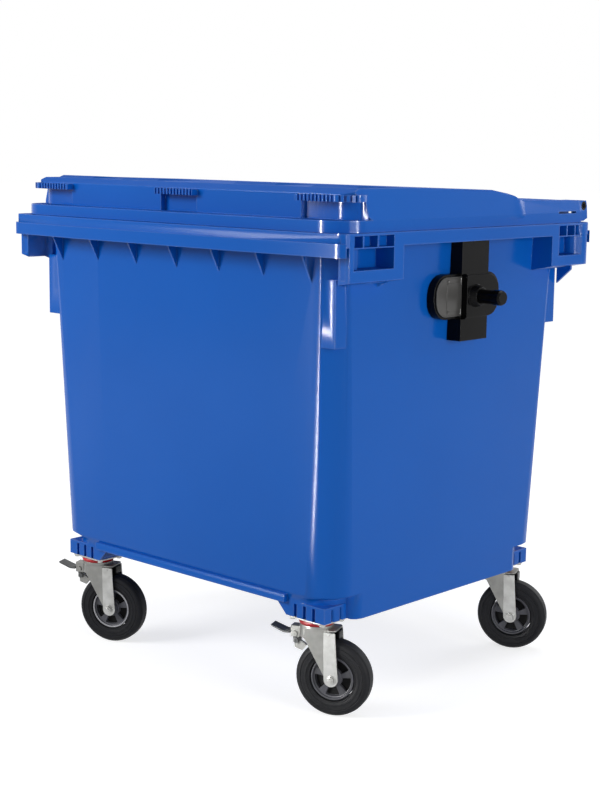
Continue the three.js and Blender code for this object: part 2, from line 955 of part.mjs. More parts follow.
function hingeArm(side) {
  const reach = hingeY + armTail;
  const top = rearZ - gap;
  const blade = [
    [stepY, armFoot],
    [hingeY, armFoot],
    [reach, armFoot + armHeelRise],
    [reach - armLean, hingeZ],
    [reach - armTopLean, top],
    [stepY, top],
  ];
  return cut(
    prismX(blade, [side * (armOuter - armWidth), side * armOuter]),
    box(
      [side * (armOuter - armWidth + armPlate), side * (armOuter - armPlate)],
      [stepY + armPlate, reach + wall],
      [armFoot - wall, hingeZ - capRadius - gap],
    ),
    rodX(
      [capRadius, capRadius],
      ordered([side * (armOuter - capDepth), side * (armOuter + wall)]),
      [hingeY, hingeZ],
    ),
  );
}

function knuckle(side) {
  const eye = arc([hingeY, hingeZ], hingeEye, -Math.PI / 2, Math.PI / 2, 8);
  const blade = [
    ...eye,
    [hingeY - hingeEye, rearZ - gap],
    [lidRear - wall, rearZ - gap],
    [lidRear - wall, hingeZ - hingeEye],
  ];
  const outer = lugInner - gap;
  return prismX(blade, [side * (outer - knuckleWidth), side * outer]);
}

function lid() {
  const sides = [-1, 1];
  const hollow = cut(join(lidSlab(skin), lidTop(skin)), gripRecesses(skin));
  const shell = join(
    cut(join(lidSlab(0), lidTop(0), pads(), sides.map(sidePanel)), hollow),
    box(
      [skirtMargin - lugInner, lugInner - skirtMargin],
      [lidRear - wall - skin, lidRear - wall],
      [armFoot, rearZ - skin / 2],
    ),
    sides.map(hingeArm),
    sides.map(knuckle),
  );
  return join(
    cut(shell, gripRecesses(0), sides.map(armSlot), hingeBore(hingePinRadius + gap)),
    cut(gripLips(), hollow),
  );
}

function hingePin() {
  const outer = armOuter - capDepth - gap;
  const inner = lugInner - knuckleWidth;
  return rodX([hingePinRadius, hingePinRadius], [inner, outer], [hingeY, hingeZ]);
}

function hingeCap() {
  const radius = capRadius - gap;
  const disc = [armOuter - capDepth + gap, armOuter - gap];
  const dish = [armOuter - capDepth / 2, armOuter + wall];
  return cut(
    rodX([radius, radius], disc, [hingeY, hingeZ]),
    rodX([capDish, capDish], dish, [hingeY, hingeZ]),
  );
}

const trunnionFace = () => sideX(trunnionZ) + plateReach;
const neckEnd = () => trunnionFace() + housingReach + neckLength;

function trunnionBracket() {
  const deep = sideX(channelFoot) - wall;
  const face = trunnionFace();
  const plate = rounded(
    [trunnionY - plateFront, trunnionY + plateRear],
    [trunnionZ - plateHalfZ, trunnionZ + plateHalfZ],
    [plateCorner, plateCorner, plateCorner, plateCorner],
  );
  const housing = rounded(
    [trunnionY - housingFront, trunnionY + housingRear],
    [trunnionZ - housingHalfZ, trunnionZ + housingHalfZ],
    [0, housingCorner, housingCorner, 0],
  );
  const proud = face + housingReach;
  const bore = shankRadius + gap;
  const channelFace = sideX(rimTop) + channelDepth;
  return cut(
    join(
      cut(
        box(
          [deep, channelFace],
          [trunnionY - channelHalfWidth, trunnionY + channelHalfWidth],
          [channelFoot, rimTop - wall - gap],
        ),
        box(
          [face, channelFace + wall],
          [trunnionY - channelHalfWidth - wall, trunnionY - housingFront],
          [trunnionZ - plateHalfZ, trunnionZ + plateHalfZ],
        ),
      ),
      prismX(plate, [deep, face]),
      prismX(housing, [deep, proud]),
      rodX([neckRadius, neckTipRadius], [proud - gap, proud + neckLength], [trunnionY, trunnionZ]),
    ),
    tubBody(gap, rimTop),
    rodX([bore, bore], [neckEnd() - pinSeat, neckEnd() + wall], [trunnionY, trunnionZ]),
  );
}

function trunnionPin() {
  const start = neckEnd() - pinSeat + gap;
  const pinReach = neckEnd() + pinLength;
  const collar = pinReach - collarLength;
  const tip = pinReach - 2 * pinChamfer;
  const at = [trunnionY, trunnionZ];
  return join(
    rodX([shankRadius, shankRadius], [start, collar + gap], at),
    rodX([pinRadius, pinRadius], [collar, tip], at),
    rodX([pinRadius, pinRadius - pinChamfer], [tip - gap, pinReach], at),
  );
}

function trunnionCover() {
  const face = trunnionFace() + gap;
  const rear = trunnionY - housingFront - gap;
  const front = trunnionY - plateFront + coverInset;
  const half = plateHalfZ - coverInset;
  const corner = plateCorner - coverInset;
  const panelRear = rear - panelMargin;
  const panelFront = rear - panelLength;
  const outer = face + coverThick;
  const studs = [-1, 1].map((way) =>
    rodX(
      [studRadius, studTipRadius],
      [outer - gap, outer + studHeight],
      [panelFront + studRadius, trunnionZ + way * (panelHalfZ + studRadius)],
      smallRound,
    ),
  );
  return join(
    prismX(
      rounded([front, rear], [trunnionZ - half, trunnionZ + half], [corner, 0, 0, corner]),
      [face, outer],
    ),
    box(
      [outer - gap, outer + panelLift],
      [panelFront, panelRear],
      [trunnionZ - panelHalfZ, trunnionZ + panelHalfZ],
    ),
    studs,
  );
}

// Caster pieces stand about the swivel's axis with the wheel trailing along +X.
function casterPlate() {
  const xs = [-plateHalfX, plateHalfX];
  const ys = [-plateHalfY, plateHalfY];
  const corners = [boltInset, boltInset, boltInset, boltInset];
  const bolts = [-1, 1].flatMap((sx) =>
    [-1, 1].map((sy) => {
      const bolt = new THREE.CylinderGeometry(boltRadius, boltRadius, boltHeight + gap, 6);
      const x = sx * (plateHalfX - boltInset);
      const y = sy * (plateHalfY - boltInset);
      return solid(
        bolt.rotateX(Math.PI / 2).translate(x, y, plateFoot - (boltHeight - gap) / 2),
      );
    }),
  );
  return join(
    prismZ(rounded(xs, ys, corners, 1), [plateFoot, plateTop]),
    bolts,
    cylinder(bossRadius, [sealFoot, plateFoot + gap], round),
    cylinder(kingpinRadius, [headFoot - rivetHeight, sealFoot + gap]),
    cylinder(rivetRadius, [crownFoot - gap - rivetHeight, crownFoot - gap], smallRound),
  );
}

function sealRing() {
  const inner = bossRadius + gap;
  const top = plateFoot - gap;
  return solid(
    turned(
      [
        [inner, sealFoot],
        [sealRadius - sealSoft, sealFoot],
        [sealRadius, (sealFoot + top) / 2],
        [sealRadius - sealSoft, top],
        [inner, top],
      ],
      round,
    ).rotateX(Math.PI / 2),
  );
}

function forkLeg(way) {
  const outer = way * legHalfSpan;
  const ys = [outer, outer - way * sheet];
  const stripTop = trail + legFootRadius - legTopWidth - legLean;
  const strip = [
    [stripTop, headFoot],
    ...arc([trail, wheelRadius], legFootRadius, Math.PI, 2 * Math.PI, 4),
    [stripTop + legTopWidth, headFoot],
  ];
  const web = [
    [-webReach, headFoot],
    [-webReach, headFoot - sheet],
    [trail - 2 * legFootRadius + sheet, wheelRadius + legFootRadius],
    [trail - legFootRadius + sheet / 2, wheelRadius + sheet],
    [stripTop + sheet, headFoot],
  ];
  const slant = (way * webLean) / (stripTop + webReach);
  const skew = new THREE.Matrix4().set(
    1, 0, 0, 0,
    slant, 1, 0, -slant * stripTop,
    0, 0, 1, 0,
    0, 0, 0, 1,
  );
  return [prismY(strip, ys), prismY(web, ys, skew)];
}

function fork() {
  const crown = [crownFoot, headFoot + gap];
  const drumFoot = headFoot - drumDrop;
  const drum = common(
    cut(
      cylinder(headRadius, [drumFoot, headFoot + gap], round),
      cylinder(headRadius - sheet, [drumFoot - wall, headFoot + wall], round),
    ),
    box([-2 * headRadius, -sheet], [-headRadius, headRadius], [drumFoot - wall, headTop]),
  );
  return cut(
    join(
      cylinder(headRadius, [headFoot, headTop], round),
      box([-webReach, trail + legFootRadius - crownLip], [-legHalfSpan, legHalfSpan], crown),
      drum,
      [-1, 1].flatMap(forkLeg),
    ),
    cylinder(kingpinRadius + gap, [crownFoot - wall, headTop + wall]),
    rodY(axleRadius + gap, [-2 * legHalfSpan, 2 * legHalfSpan], [trail, wheelRadius], smallRound),
  );
}

function axleBolt() {
  const at = [trail, wheelRadius];
  const seat = legHalfSpan + gap;
  return join(
    rodY(axleRadius, [-seat - nutHeight / 2, seat + nutHeight + threadHeight], at, smallRound),
    rodY(nutRadius, [-seat - nutHeight, -seat], at, 6),
    rodY(nutRadius, [seat, seat + nutHeight], at, 6),
  );
}

function trailBumper() {
  const low = wheelRadius * 2 + sheet;
  return box(
    [trail - bumperFront, trail + bumperRear],
    [-bumperHalfWidth, bumperHalfWidth],
    [low, crownFoot - gap],
  );
}

function wheelRim() {
  const hubHalf = legHalfSpan - sheet - gap;
  const bore = axleRadius + gap;
  const bandInner = rimRadius - rimBandDepth;
  const half = [
    [bore, hubHalf],
    [hubRadius, hubHalf],
    [hubRadius + skin / 2, rimWebHalf],
    [bandInner, rimWebHalf],
    [bandInner + skin / 2, rimHalfWidth],
    [rimRadius, rimHalfWidth],
  ];
  const profile = [...half, ...half.map(([r, y]) => [r, -y]).reverse()];
  const spin = solid(turned(profile.reverse(), wheelSegments));
  const span = (2 * Math.PI) / windowCount;
  const openings = Array.from({ length: windowCount }, (_, i) => {
    const middle = -Math.PI / 2 + i * span;
    const low = middle - (span * windowWidthShare) / 2;
    const high = middle + (span * windowWidthShare) / 2;
    const inner = arc([0, 0], hubRadius + skin, high, low, 1);
    const outer = arc([0, 0], bandInner - skin / 2, low, high, 2);
    return prismY([...outer, ...inner], [-hubHalf, hubHalf]);
  });
  return cut(spin, openings);
}

function tyre() {
  const inner = rimRadius + gap;
  const half = [
    [inner, rimHalfWidth],
    [inner + tyreShoulder, tyreHalfWidth],
    [wheelRadius - tyreCrownDrop, tyreHalfWidth - tyreTaper],
    [wheelRadius, tyreCrownHalf],
  ];
  const profile = [...half, ...half.map(([r, y]) => [r, -y]).reverse()];
  return solid(turned(profile.reverse(), wheelSegments));
}

// Two cheeks and a top plate reach out from the drum and carry the pedal's pivot bolt.
function brakeBracket() {
  const inner = cheekSpan - cheekThick;
  const far = -headRadius - cheekReach;
  const top = headFoot - cheekSetDown;
  const xs = [far, -headRadius / 2];
  const zs = [top - cheekHeight, top];
  const span = cheekSpan + cheekThick;
  return cut(
    join(
      box(xs, [inner, cheekSpan], zs),
      box(xs, [-cheekSpan, -inner], zs),
      box(xs, [-cheekSpan, cheekSpan], [top - cheekThick, top]),
      rodY(pedalBolt, [-cheekSpan, cheekSpan], pivot, smallRound),
      [-1, 1].map((way) => rodY(2 * pedalBolt, [way * (cheekSpan - gap), way * span], pivot, 6)),
    ),
    cylinder(headRadius + gap, [0, headTop]),
  );
}

// The strip's two arms hang on the pivot bolt and hold the shoe's bolt at their feet.
function brakePedal() {
  const [x, z] = pivot;
  const arm = cheekSpan - cheekThick - gap;
  const foot = pedalLift - pedalThick;
  const tread = [
    [x - pedalRoot, z + pedalLift],
    [x - pedalKnee, z + pedalLift],
    [x - pedalLength, z + pedalRise],
    [x - pedalLength + pedalThick / 2, z + pedalRise - pedalThick],
    [x - pedalKnee, z + foot],
    [x - pedalRoot, z + foot],
  ];
  const lever = [
    ...arc(shoeBolt, pedalEye, Math.PI, 2 * Math.PI, 3),
    ...arc(pivot, pedalEye, 0, Math.PI / 2, 2),
    [x - pedalKnee, z + pedalLift],
    [x - pedalKnee, z + foot],
    [x - pedalEye, z + foot],
  ];
  const arms = [-1, 1].map((way) => prismY(lever, [way * (shoeHalfWidth + gap), way * arm]));
  const nuts = [-1, 1].map((way) =>
    rodY(2 * pedalBolt - gap, [way * (arm - gap), way * (arm + cheekThick)], shoeBolt, 6),
  );
  return cut(
    join(
      prismY(tread, [-pedalHalfWidth, pedalHalfWidth]),
      arms,
      rodY(pedalBolt, [-arm, arm], shoeBolt, smallRound),
      nuts,
    ),
    rodY(pedalBolt + gap, [-cheekSpan, cheekSpan], pivot, smallRound),
  );
}

function brakeShoe() {
  const [x, z] = shoeBolt;
  const radius = wheelRadius + shoeGap;
  const face = arc([trail, wheelRadius], radius, Math.PI * shoeFromShare, Math.PI * shoeToShare, 3);
  const blade = [
    ...arc(shoeBolt, pedalEye, 0, Math.PI, 4),
    [x - pedalEye + pedalBolt / 2, z - shoeHeel],
    ...face,
  ];
  return cut(
    prismY(blade, [-shoeHalfWidth, shoeHalfWidth]),
    rodY(pedalBolt + gap, [-cheekSpan, cheekSpan], shoeBolt, smallRound),
  );
}

function buildCaster(label, side, way, braked) {
  const fixed = { x: side * casterX, y: way * casterY };
  const turning = { ...fixed, yaw: casterYaw };
  add("caster_plate_" + label, casterPlate(), "zinc", fixed);
  add("seal_ring_" + label, sealRing(), "red", fixed);
  add("fork_" + label, fork(), "zinc", turning);
  add("axle_bolt_" + label, axleBolt(), "zinc", turning);
  add("trail_bumper_" + label, trailBumper(), "black", turning);
  const hub = new THREE.Vector3(trail, 0, 0).applyAxisAngle(new THREE.Vector3(0, 0, 1), casterYaw);
  const wheel = { x: fixed.x + hub.x, y: fixed.y + hub.y, yaw: casterYaw };
  add("wheel_rim_" + label, raised(wheelRim), "darkRim", wheel);
  add("tyre_" + label, raised(tyre), "rubber", wheel);
  if (!braked) return;
  add("brake_bracket_" + label, brakeBracket(), "zinc", turning);
  add("brake_pedal_" + label, brakePedal(), "pedal", turning);
  add("brake_shoe_" + label, brakeShoe(), "black", turning);
}

// A wheel piece is turned about the origin, then lifted so that the tyre stands on the ground.
function raised(build) {
  return build().translate([0, 0, wheelRadius]);
}

add("tub_shell", tub(), "blue");
add("lid_shell", lid(), "blue");
for (const [label, side] of [["left", -1], ["right", 1]]) {
  add("hinge_pin_" + label, hingePin(), "zinc", { side });
  add("hinge_cap_" + label, hingeCap(), "black", { side });
  add("trunnion_bracket_" + label, trunnionBracket(), "black", { side });
  add("trunnion_cover_" + label, trunnionCover(), "grey", { side });
  add("trunnion_pin_" + label, trunnionPin(), "black", { side });
}
buildCaster("front_left", -1, -1, true);
buildCaster("front_right", 1, -1, true);
buildCaster("rear_left", -1, 1, false);
buildCaster("rear_right", 1, 1, false);

export default part;
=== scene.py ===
import json
import math

import bmesh
import bpy
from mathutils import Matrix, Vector


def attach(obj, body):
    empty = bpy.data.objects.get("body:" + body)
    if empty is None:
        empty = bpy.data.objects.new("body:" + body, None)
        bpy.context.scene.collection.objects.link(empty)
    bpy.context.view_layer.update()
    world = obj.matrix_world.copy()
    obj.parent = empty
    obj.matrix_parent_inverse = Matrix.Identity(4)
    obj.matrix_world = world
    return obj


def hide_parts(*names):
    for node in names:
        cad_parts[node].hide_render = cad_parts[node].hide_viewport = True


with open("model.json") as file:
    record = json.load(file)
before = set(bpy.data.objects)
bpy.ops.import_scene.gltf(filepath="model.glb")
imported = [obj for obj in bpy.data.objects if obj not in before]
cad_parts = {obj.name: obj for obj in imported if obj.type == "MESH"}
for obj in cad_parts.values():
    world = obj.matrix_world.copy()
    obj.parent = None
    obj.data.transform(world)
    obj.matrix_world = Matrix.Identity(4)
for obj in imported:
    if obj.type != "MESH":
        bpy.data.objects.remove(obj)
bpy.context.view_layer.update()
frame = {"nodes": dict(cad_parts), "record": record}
nodes = frame["nodes"]
print("frame loaded:", len(nodes), "nodes")

casters = ["front_left", "front_right", "rear_left", "rear_right"]
straight = 0.9  # how nearly a normal has to follow an axis for its face to be picked

# the numbers inside the node groups and the finishes that share them
wearGroup = {"samples": 6, "worn": (0.02, 0.22), "scale": 38.0, "detail": 4.0, "patches": (0.38, 0.66),
             "polished": (0.004, 0.06)}
grainGroup = {"fineDetail": 1.5, "broadDetail": 3.0, "tones": (0.3, 0.7)}
dustGroup = {"scale": 55.0, "detail": 5.0, "rough": 0.65, "specks": (0.42, 0.68)}
mattShadedTopGroup = {"facing": (0.55, 0.95), "detail": 3.0, "patches": (0.3, 0.7), "least": 0.85}
finishShare = {"wornRough": 0.15, "dustyRough": 0.2, "samples": 4, "bumpDistance": 0.0006, "shine": 0.5}


def newGroup(name, inputs, outputs):
    group = bpy.data.node_groups.new(name, "ShaderNodeTree")
    for label, kind, value in inputs:
        socket = group.interface.new_socket(name=label, in_out="INPUT", socket_type=kind)
        if value is not None:
            socket.default_value = value
    for label, kind in outputs:
        group.interface.new_socket(name=label, in_out="OUTPUT", socket_type=kind)
    return group, group.nodes.new("NodeGroupInput"), group.nodes.new("NodeGroupOutput")


def addNode(tree, kind, **values):
    node = tree.nodes.new(kind)
    for key, value in values.items():
        setattr(node, key, value)
    return node


def mathNode(tree, operation, first, second=0.0, clamp=False):
    node = addNode(tree, "ShaderNodeMath", operation=operation, use_clamp=clamp)
    for socket, value in zip(node.inputs, (first, second)):
        if isinstance(value, (int, float)):
            socket.default_value = value
        else:
            tree.links.new(value, socket)
    return node.outputs[0]


def noiseNode(tree, vector, scale, detail=2.0, rough=0.5):
    node = addNode(tree, "ShaderNodeTexNoise")
    node.inputs["Scale"].default_value = scale
    node.inputs["Detail"].default_value = detail
    node.inputs["Roughness"].default_value = rough
    tree.links.new(vector, node.inputs["Vector"])
    return node.outputs["Fac"]


def rangeNode(tree, value, low, high, toLow=0.0, toHigh=1.0):
    node = addNode(tree, "ShaderNodeMapRange", clamp=True)
    for socket, number in zip(list(node.inputs)[1:5], (low, high, toLow, toHigh)):
        if isinstance(number, (int, float)):
            socket.default_value = number
        else:
            tree.links.new(number, socket)
    tree.links.new(value, node.inputs["Value"])
    return node.outputs["Result"]


# worn patches along the edges, and the edges alone for a polish
def buildEdgeWear():
    group, start, end = newGroup(
        "edge wear",
        [("Vector", "NodeSocketVector", None), ("Radius", "NodeSocketFloat", 0.003)],
        [("Mask", "NodeSocketFloat"), ("Edge", "NodeSocketFloat")],
    )
    look = wearGroup
    bevel = addNode(group, "ShaderNodeBevel", samples=look["samples"])
    group.links.new(start.outputs["Radius"], bevel.inputs["Radius"])
    sharp = addNode(group, "ShaderNodeNewGeometry")
    dot = addNode(group, "ShaderNodeVectorMath", operation="DOT_PRODUCT")
    group.links.new(bevel.outputs["Normal"], dot.inputs[0])
    group.links.new(sharp.outputs["Normal"], dot.inputs[1])
    turned = mathNode(group, "SUBTRACT", 1.0, dot.outputs["Value"])
    edge = rangeNode(group, turned, *look["worn"])
    spots = noiseNode(group, start.outputs["Vector"], look["scale"], look["detail"])
    patchy = rangeNode(group, spots, *look["patches"])
    group.links.new(mathNode(group, "MULTIPLY", edge, patchy), end.inputs["Mask"])
    group.links.new(rangeNode(group, turned, *look["polished"]), end.inputs["Edge"])
    return group


# a fine height for the bump and a broad drift between two tones
def buildGrain():
    group, start, end = newGroup(
        "mould grain",
        [("Vector", "NodeSocketVector", None), ("Fine", "NodeSocketFloat", 900.0),
         ("Broad", "NodeSocketFloat", 3.0)],
        [("Height", "NodeSocketFloat"), ("Tone", "NodeSocketFloat")],
    )
    fine = addNode(group, "ShaderNodeTexNoise")
    fine.inputs["Detail"].default_value = grainGroup["fineDetail"]
    broad = addNode(group, "ShaderNodeTexNoise")
    broad.inputs["Detail"].default_value = grainGroup["broadDetail"]
    for node, scale in ((fine, "Fine"), (broad, "Broad")):
        group.links.new(start.outputs["Vector"], node.inputs["Vector"])
        group.links.new(start.outputs[scale], node.inputs["Scale"])
    group.links.new(fine.outputs["Fac"], end.inputs["Height"])
    group.links.new(rangeNode(group, broad.outputs["Fac"], *grainGroup["tones"]), end.inputs["Tone"])
    return group


# specks that thin out from the ground up to a height
def buildDust():
    group, start, end = newGroup(
        "ground dust",
        [("Vector", "NodeSocketVector", None), ("Top", "NodeSocketFloat", 0.2)],
        [("Mask", "NodeSocketFloat")],
    )
    split = addNode(group, "ShaderNodeSeparateXYZ")
    group.links.new(start.outputs["Vector"], split.inputs[0])
    low = rangeNode(group, split.outputs["Z"], 0.0, start.outputs["Top"], 1.0, 0.0)
    look = dustGroup
    spots = noiseNode(group, start.outputs["Vector"], look["scale"], look["detail"], look["rough"])
    specks = rangeNode(group, spots, *look["specks"])
    group.links.new(mathNode(group, "MULTIPLY", low, specks), end.inputs["Mask"])
    return group


# faces that look upwards, a little uneven; the mask makes them matt and paints shade on them
def buildMattShadedTop():
    group, start, end = newGroup(
        "matt top with painted shade",
        [("Vector", "NodeSocketVector", None), ("Patch", "NodeSocketFloat", 6.0)],
        [("Mask", "NodeSocketFloat")],
    )
    facing = addNode(group, "ShaderNodeNewGeometry")
    split = addNode(group, "ShaderNodeSeparateXYZ")
    group.links.new(facing.outputs["Normal"], split.inputs[0])
    look = mattShadedTopGroup
    up = rangeNode(group, split.outputs["Z"], *look["facing"])
    patch = addNode(group, "ShaderNodeTexNoise")
    patch.inputs["Detail"].default_value = look["detail"]
    group.links.new(start.outputs["Vector"], patch.inputs["Vector"])
    group.links.new(start.outputs["Patch"], patch.inputs["Scale"])
    uneven = rangeNode(group, patch.outputs["Fac"], *look["patches"], look["least"], 1.0)
    group.links.new(mathNode(group, "MULTIPLY", up, uneven), end.inputs["Mask"])
    return group


edgeWear = buildEdgeWear()
mattShadedTop = buildMattShadedTop()
mouldGrain = buildGrain()
groundDust = buildDust()


def mixColor(tree, factor, first, second):
    node = addNode(tree, "ShaderNodeMix", data_type="RGBA", clamp_factor=True)
    tree.links.new(factor, node.inputs[0])
    for socket, value in ((node.inputs[6], first), (node.inputs[7], second)):
        if isinstance(value, tuple):
            socket.default_value = (*value, 1.0)
        else:
            tree.links.new(value, socket)
    return node.outputs[2]


def useGroup(tree, group, vector, **values):
    node = addNode(tree, "ShaderNodeGroup", node_tree=group)
    tree.links.new(vector, node.inputs["Vector"])
    for label, value in values.items():
        node.inputs[label].default_value = value
    return node


# one finish: two tones of colour and a grain, with wear, polish, dust and a matt top with painted shade where
# its look has them
def makeFinish(name, look):
    material = bpy.data.materials.new(name)
    material.use_nodes = True
    tree = material.node_tree
    shader = tree.nodes["Principled BSDF"]
    place = addNode(tree, "ShaderNodeTexCoord")
    spread = addNode(tree, "ShaderNodeMapping")
    tree.links.new(place.outputs["Object"], spread.inputs["Vector"])
    vector = spread.outputs["Vector"]
    grain = useGroup(tree, mouldGrain, vector, Fine=look["fine"], Broad=look["broad"])
    color = mixColor(tree, grain.outputs["Tone"], look["color"], look["tone"])
    rough = rangeNode(tree, grain.outputs["Tone"], 0.0, 1.0, *look["rough"])
    if look.get("wear"):
        wear = useGroup(tree, edgeWear, vector, Radius=look["wearRadius"])
        amount = mathNode(tree, "MULTIPLY", wear.outputs["Mask"], look["wear"])
        color = mixColor(tree, amount, color, look["wornColor"])
        rougher = mathNode(tree, "MULTIPLY", amount, finishShare["wornRough"])
        rough = mathNode(tree, "ADD", rough, rougher, clamp=True)
    if look.get("polish"):
        coat = mathNode(tree, "MULTIPLY", wear.outputs["Edge"], look["polish"])
        tree.links.new(coat, shader.inputs["Coat Weight"])
        shader.inputs["Coat Roughness"].default_value = look["polishRough"]
    if look.get("dust"):
        dust = useGroup(tree, groundDust, place.outputs["Object"], Top=look["dustTop"])
        amount = mathNode(tree, "MULTIPLY", dust.outputs["Mask"], look["dust"])
        color = mixColor(tree, amount, color, look["dustColor"])
        rougher = mathNode(tree, "MULTIPLY", amount, finishShare["dustyRough"])
        rough = mathNode(tree, "ADD", rough, rougher, clamp=True)
    # upward faces: rougher, and mixed towards a darker colour that is painted shade
    if look.get("topRough"):
        topMattShade = useGroup(tree, mattShadedTop, vector, Patch=look["topPatch"])
        rough = rangeNode(tree, topMattShade.outputs["Mask"], 0.0, 1.0, rough, look["topRough"])
        color = mixColor(tree, topMattShade.outputs["Mask"], color, look["topShadeColor"])
    rounded = addNode(tree, "ShaderNodeBevel", samples=finishShare["samples"])
    rounded.inputs["Radius"].default_value = look["edge"]
    bump = addNode(tree, "ShaderNodeBump")
    bump.inputs["Strength"].default_value = look["bump"]
    bump.inputs["Distance"].default_value = finishShare["bumpDistance"]
    tree.links.new(grain.outputs["Height"], bump.inputs["Height"])
    tree.links.new(rounded.outputs["Normal"], bump.inputs["Normal"])
    tree.links.new(color, shader.inputs["Base Color"])
    tree.links.new(rough, shader.inputs["Roughness"])
    tree.links.new(bump.outputs["Normal"], shader.inputs["Normal"])
    shader.inputs["Metallic"].default_value = look["metal"]
    shader.inputs["Specular IOR Level"].default_value = look.get("shine", finishShare["shine"])
    return material


finishLooks = {
    "bluePlastic": {
        "color": (0.0032, 0.106, 0.485), "tone": (0.0028, 0.098, 0.455), "rough": (0.17, 0.21),
        "metal": 0.0, "shine": 0.13, "fine": 850.0, "broad": 2.2, "bump": 0.03, "edge": 0.0022,
        "wear": 0.07, "wearRadius": 0.006, "wornColor": (0.05, 0.20, 0.62),
        "dust": 0.02, "dustTop": 0.4, "dustColor": (0.10, 0.16, 0.30), "polish": 0.5, "polishRough": 0.12,
        # the top colour is a darker blue, painted on upward faces as shade
        "topRough": 0.72, "topPatch": 7.0, "topShadeColor": (0.0030, 0.082, 0.400),
    },
    "blackPlastic": {
        "color": (0.0022, 0.0022, 0.0025), "tone": (0.0040, 0.0040, 0.0044), "rough": (0.20, 0.28),
        "metal": 0.0, "shine": 0.09, "fine": 900.0, "broad": 6.0, "bump": 0.05, "edge": 0.0018, "wear": 0.10,
        "wearRadius": 0.003, "wornColor": (0.06, 0.06, 0.065),
    },
    "greyCover": {
        "color": (0.058, 0.058, 0.056), "tone": (0.072, 0.070, 0.068), "rough": (0.26, 0.36), "metal": 0.2,
        "shine": 0.4, "fine": 700.0, "broad": 9.0, "bump": 0.06, "edge": 0.0010, "wear": 0.3,
        "wearRadius": 0.002, "wornColor": (0.26, 0.26, 0.25),
    },
    "zincSteel": {
        "color": (0.27, 0.27, 0.255), "tone": (0.19, 0.19, 0.18), "rough": (0.34, 0.48), "metal": 0.80,
        "fine": 260.0, "broad": 26.0, "bump": 0.12, "edge": 0.0008, "wear": 0.30, "wearRadius": 0.002,
        "wornColor": (0.70, 0.70, 0.68), "dust": 0.15, "dustTop": 0.3, "dustColor": (0.20, 0.19, 0.17),
    },
    "brightZinc": {
        "color": (0.47, 0.47, 0.455), "tone": (0.33, 0.33, 0.315), "rough": (0.28, 0.40), "metal": 0.85,
        "fine": 240.0, "broad": 34.0, "bump": 0.10, "edge": 0.0008, "wear": 0.20, "wearRadius": 0.002,
        "wornColor": (0.75, 0.75, 0.73),
    },
    "paleRing": {
        "color": (0.36, 0.36, 0.38), "tone": (0.28, 0.28, 0.30), "rough": (0.34, 0.44), "metal": 0.3,
        "fine": 500.0, "broad": 20.0, "bump": 0.05, "edge": 0.0006, "wear": 0.2, "wearRadius": 0.002,
        "wornColor": (0.5, 0.5, 0.5),
    },
    # near black, painted into the window floors as shade
    "paintedWindowShade": {
        "color": (0.0025, 0.0025, 0.0030), "tone": (0.0050, 0.0050, 0.0055), "rough": (0.6, 0.75),
        "metal": 0.0, "shine": 0.15, "fine": 600.0, "broad": 12.0, "bump": 0.05, "edge": 0.0004,
    },
    "pedalMetal": {
        "color": (0.085, 0.088, 0.088), "tone": (0.060, 0.063, 0.063), "rough": (0.38, 0.5), "metal": 0.5,
        "fine": 400.0, "broad": 18.0, "bump": 0.15, "edge": 0.0008, "wear": 0.5, "wearRadius": 0.002,
        "wornColor": (0.34, 0.34, 0.33),
    },
    "redRing": {
        "color": (0.56, 0.006, 0.014), "tone": (0.46, 0.005, 0.010), "rough": (0.30, 0.40), "metal": 0.0,
        "shine": 0.3, "fine": 600.0, "broad": 20.0, "bump": 0.08, "edge": 0.001, "wear": 0.1,
        "wearRadius": 0.002, "wornColor": (0.6, 0.08, 0.08),
    },
    "rimPlastic": {
        "color": (0.066, 0.067, 0.080), "tone": (0.088, 0.089, 0.102), "rough": (0.36, 0.48), "metal": 0.0,
        "shine": 0.3, "fine": 700.0, "broad": 12.0, "bump": 0.08, "edge": 0.0006, "wear": 0.25,
        "wearRadius": 0.002, "wornColor": (0.20, 0.20, 0.22), "dust": 0.10, "dustTop": 0.2,
        "dustColor": (0.16, 0.155, 0.15),
    },
    "rubber": {
        "color": (0.010, 0.0104, 0.0125), "tone": (0.015, 0.0155, 0.018), "rough": (0.50, 0.64),
        "metal": 0.0, "shine": 0.12, "fine": 500.0, "broad": 10.0, "bump": 0.22, "edge": 0.0006, "wear": 0.1,
        "wearRadius": 0.002, "wornColor": (0.07, 0.07, 0.07), "dust": 0.12, "dustTop": 0.2,
        "dustColor": (0.09, 0.088, 0.085),
    },
}
finishes = {name: makeFinish(name, look) for name, look in finishLooks.items()}
print("finishes made:", len(finishes))


def deselectAll():
    if bpy.context.object and bpy.context.object.mode != "OBJECT":
        bpy.ops.object.mode_set(mode="OBJECT")
    bpy.ops.object.select_all(action="DESELECT")


def makeActive(piece):
    deselectAll()
    piece.select_set(True)
    bpy.context.view_layer.objects.active = piece


# moves a piece's place, turn and scale into its mesh
def settle(piece):
    makeActive(piece)
    bpy.ops.object.transform_apply(location=True, rotation=True, scale=True)


def joinPieces(parts):
    deselectAll()
    for part in parts:
        part.select_set(True)
    bpy.context.view_layer.objects.active = parts[0]
    bpy.ops.object.join()
    return bpy.context.object


def bodyOfNode(name):
    for body, members in frame["record"]["behaviour"]["bodies"].items():
        if name in members:
            return body


slotOfNode = {entry["node"]: entry["material_slot"] for entry in frame["record"]["subparts"]}
finishOfSlot = {
    "blue_plastic": "bluePlastic", "black_plastic": "blackPlastic", "grey_cover": "greyCover",
    "zinc_steel": "zincSteel", "pedal_metal": "pedalMetal", "red_plastic": "redRing",
    "rim_plastic": "rimPlastic", "tyre": "rubber",
}


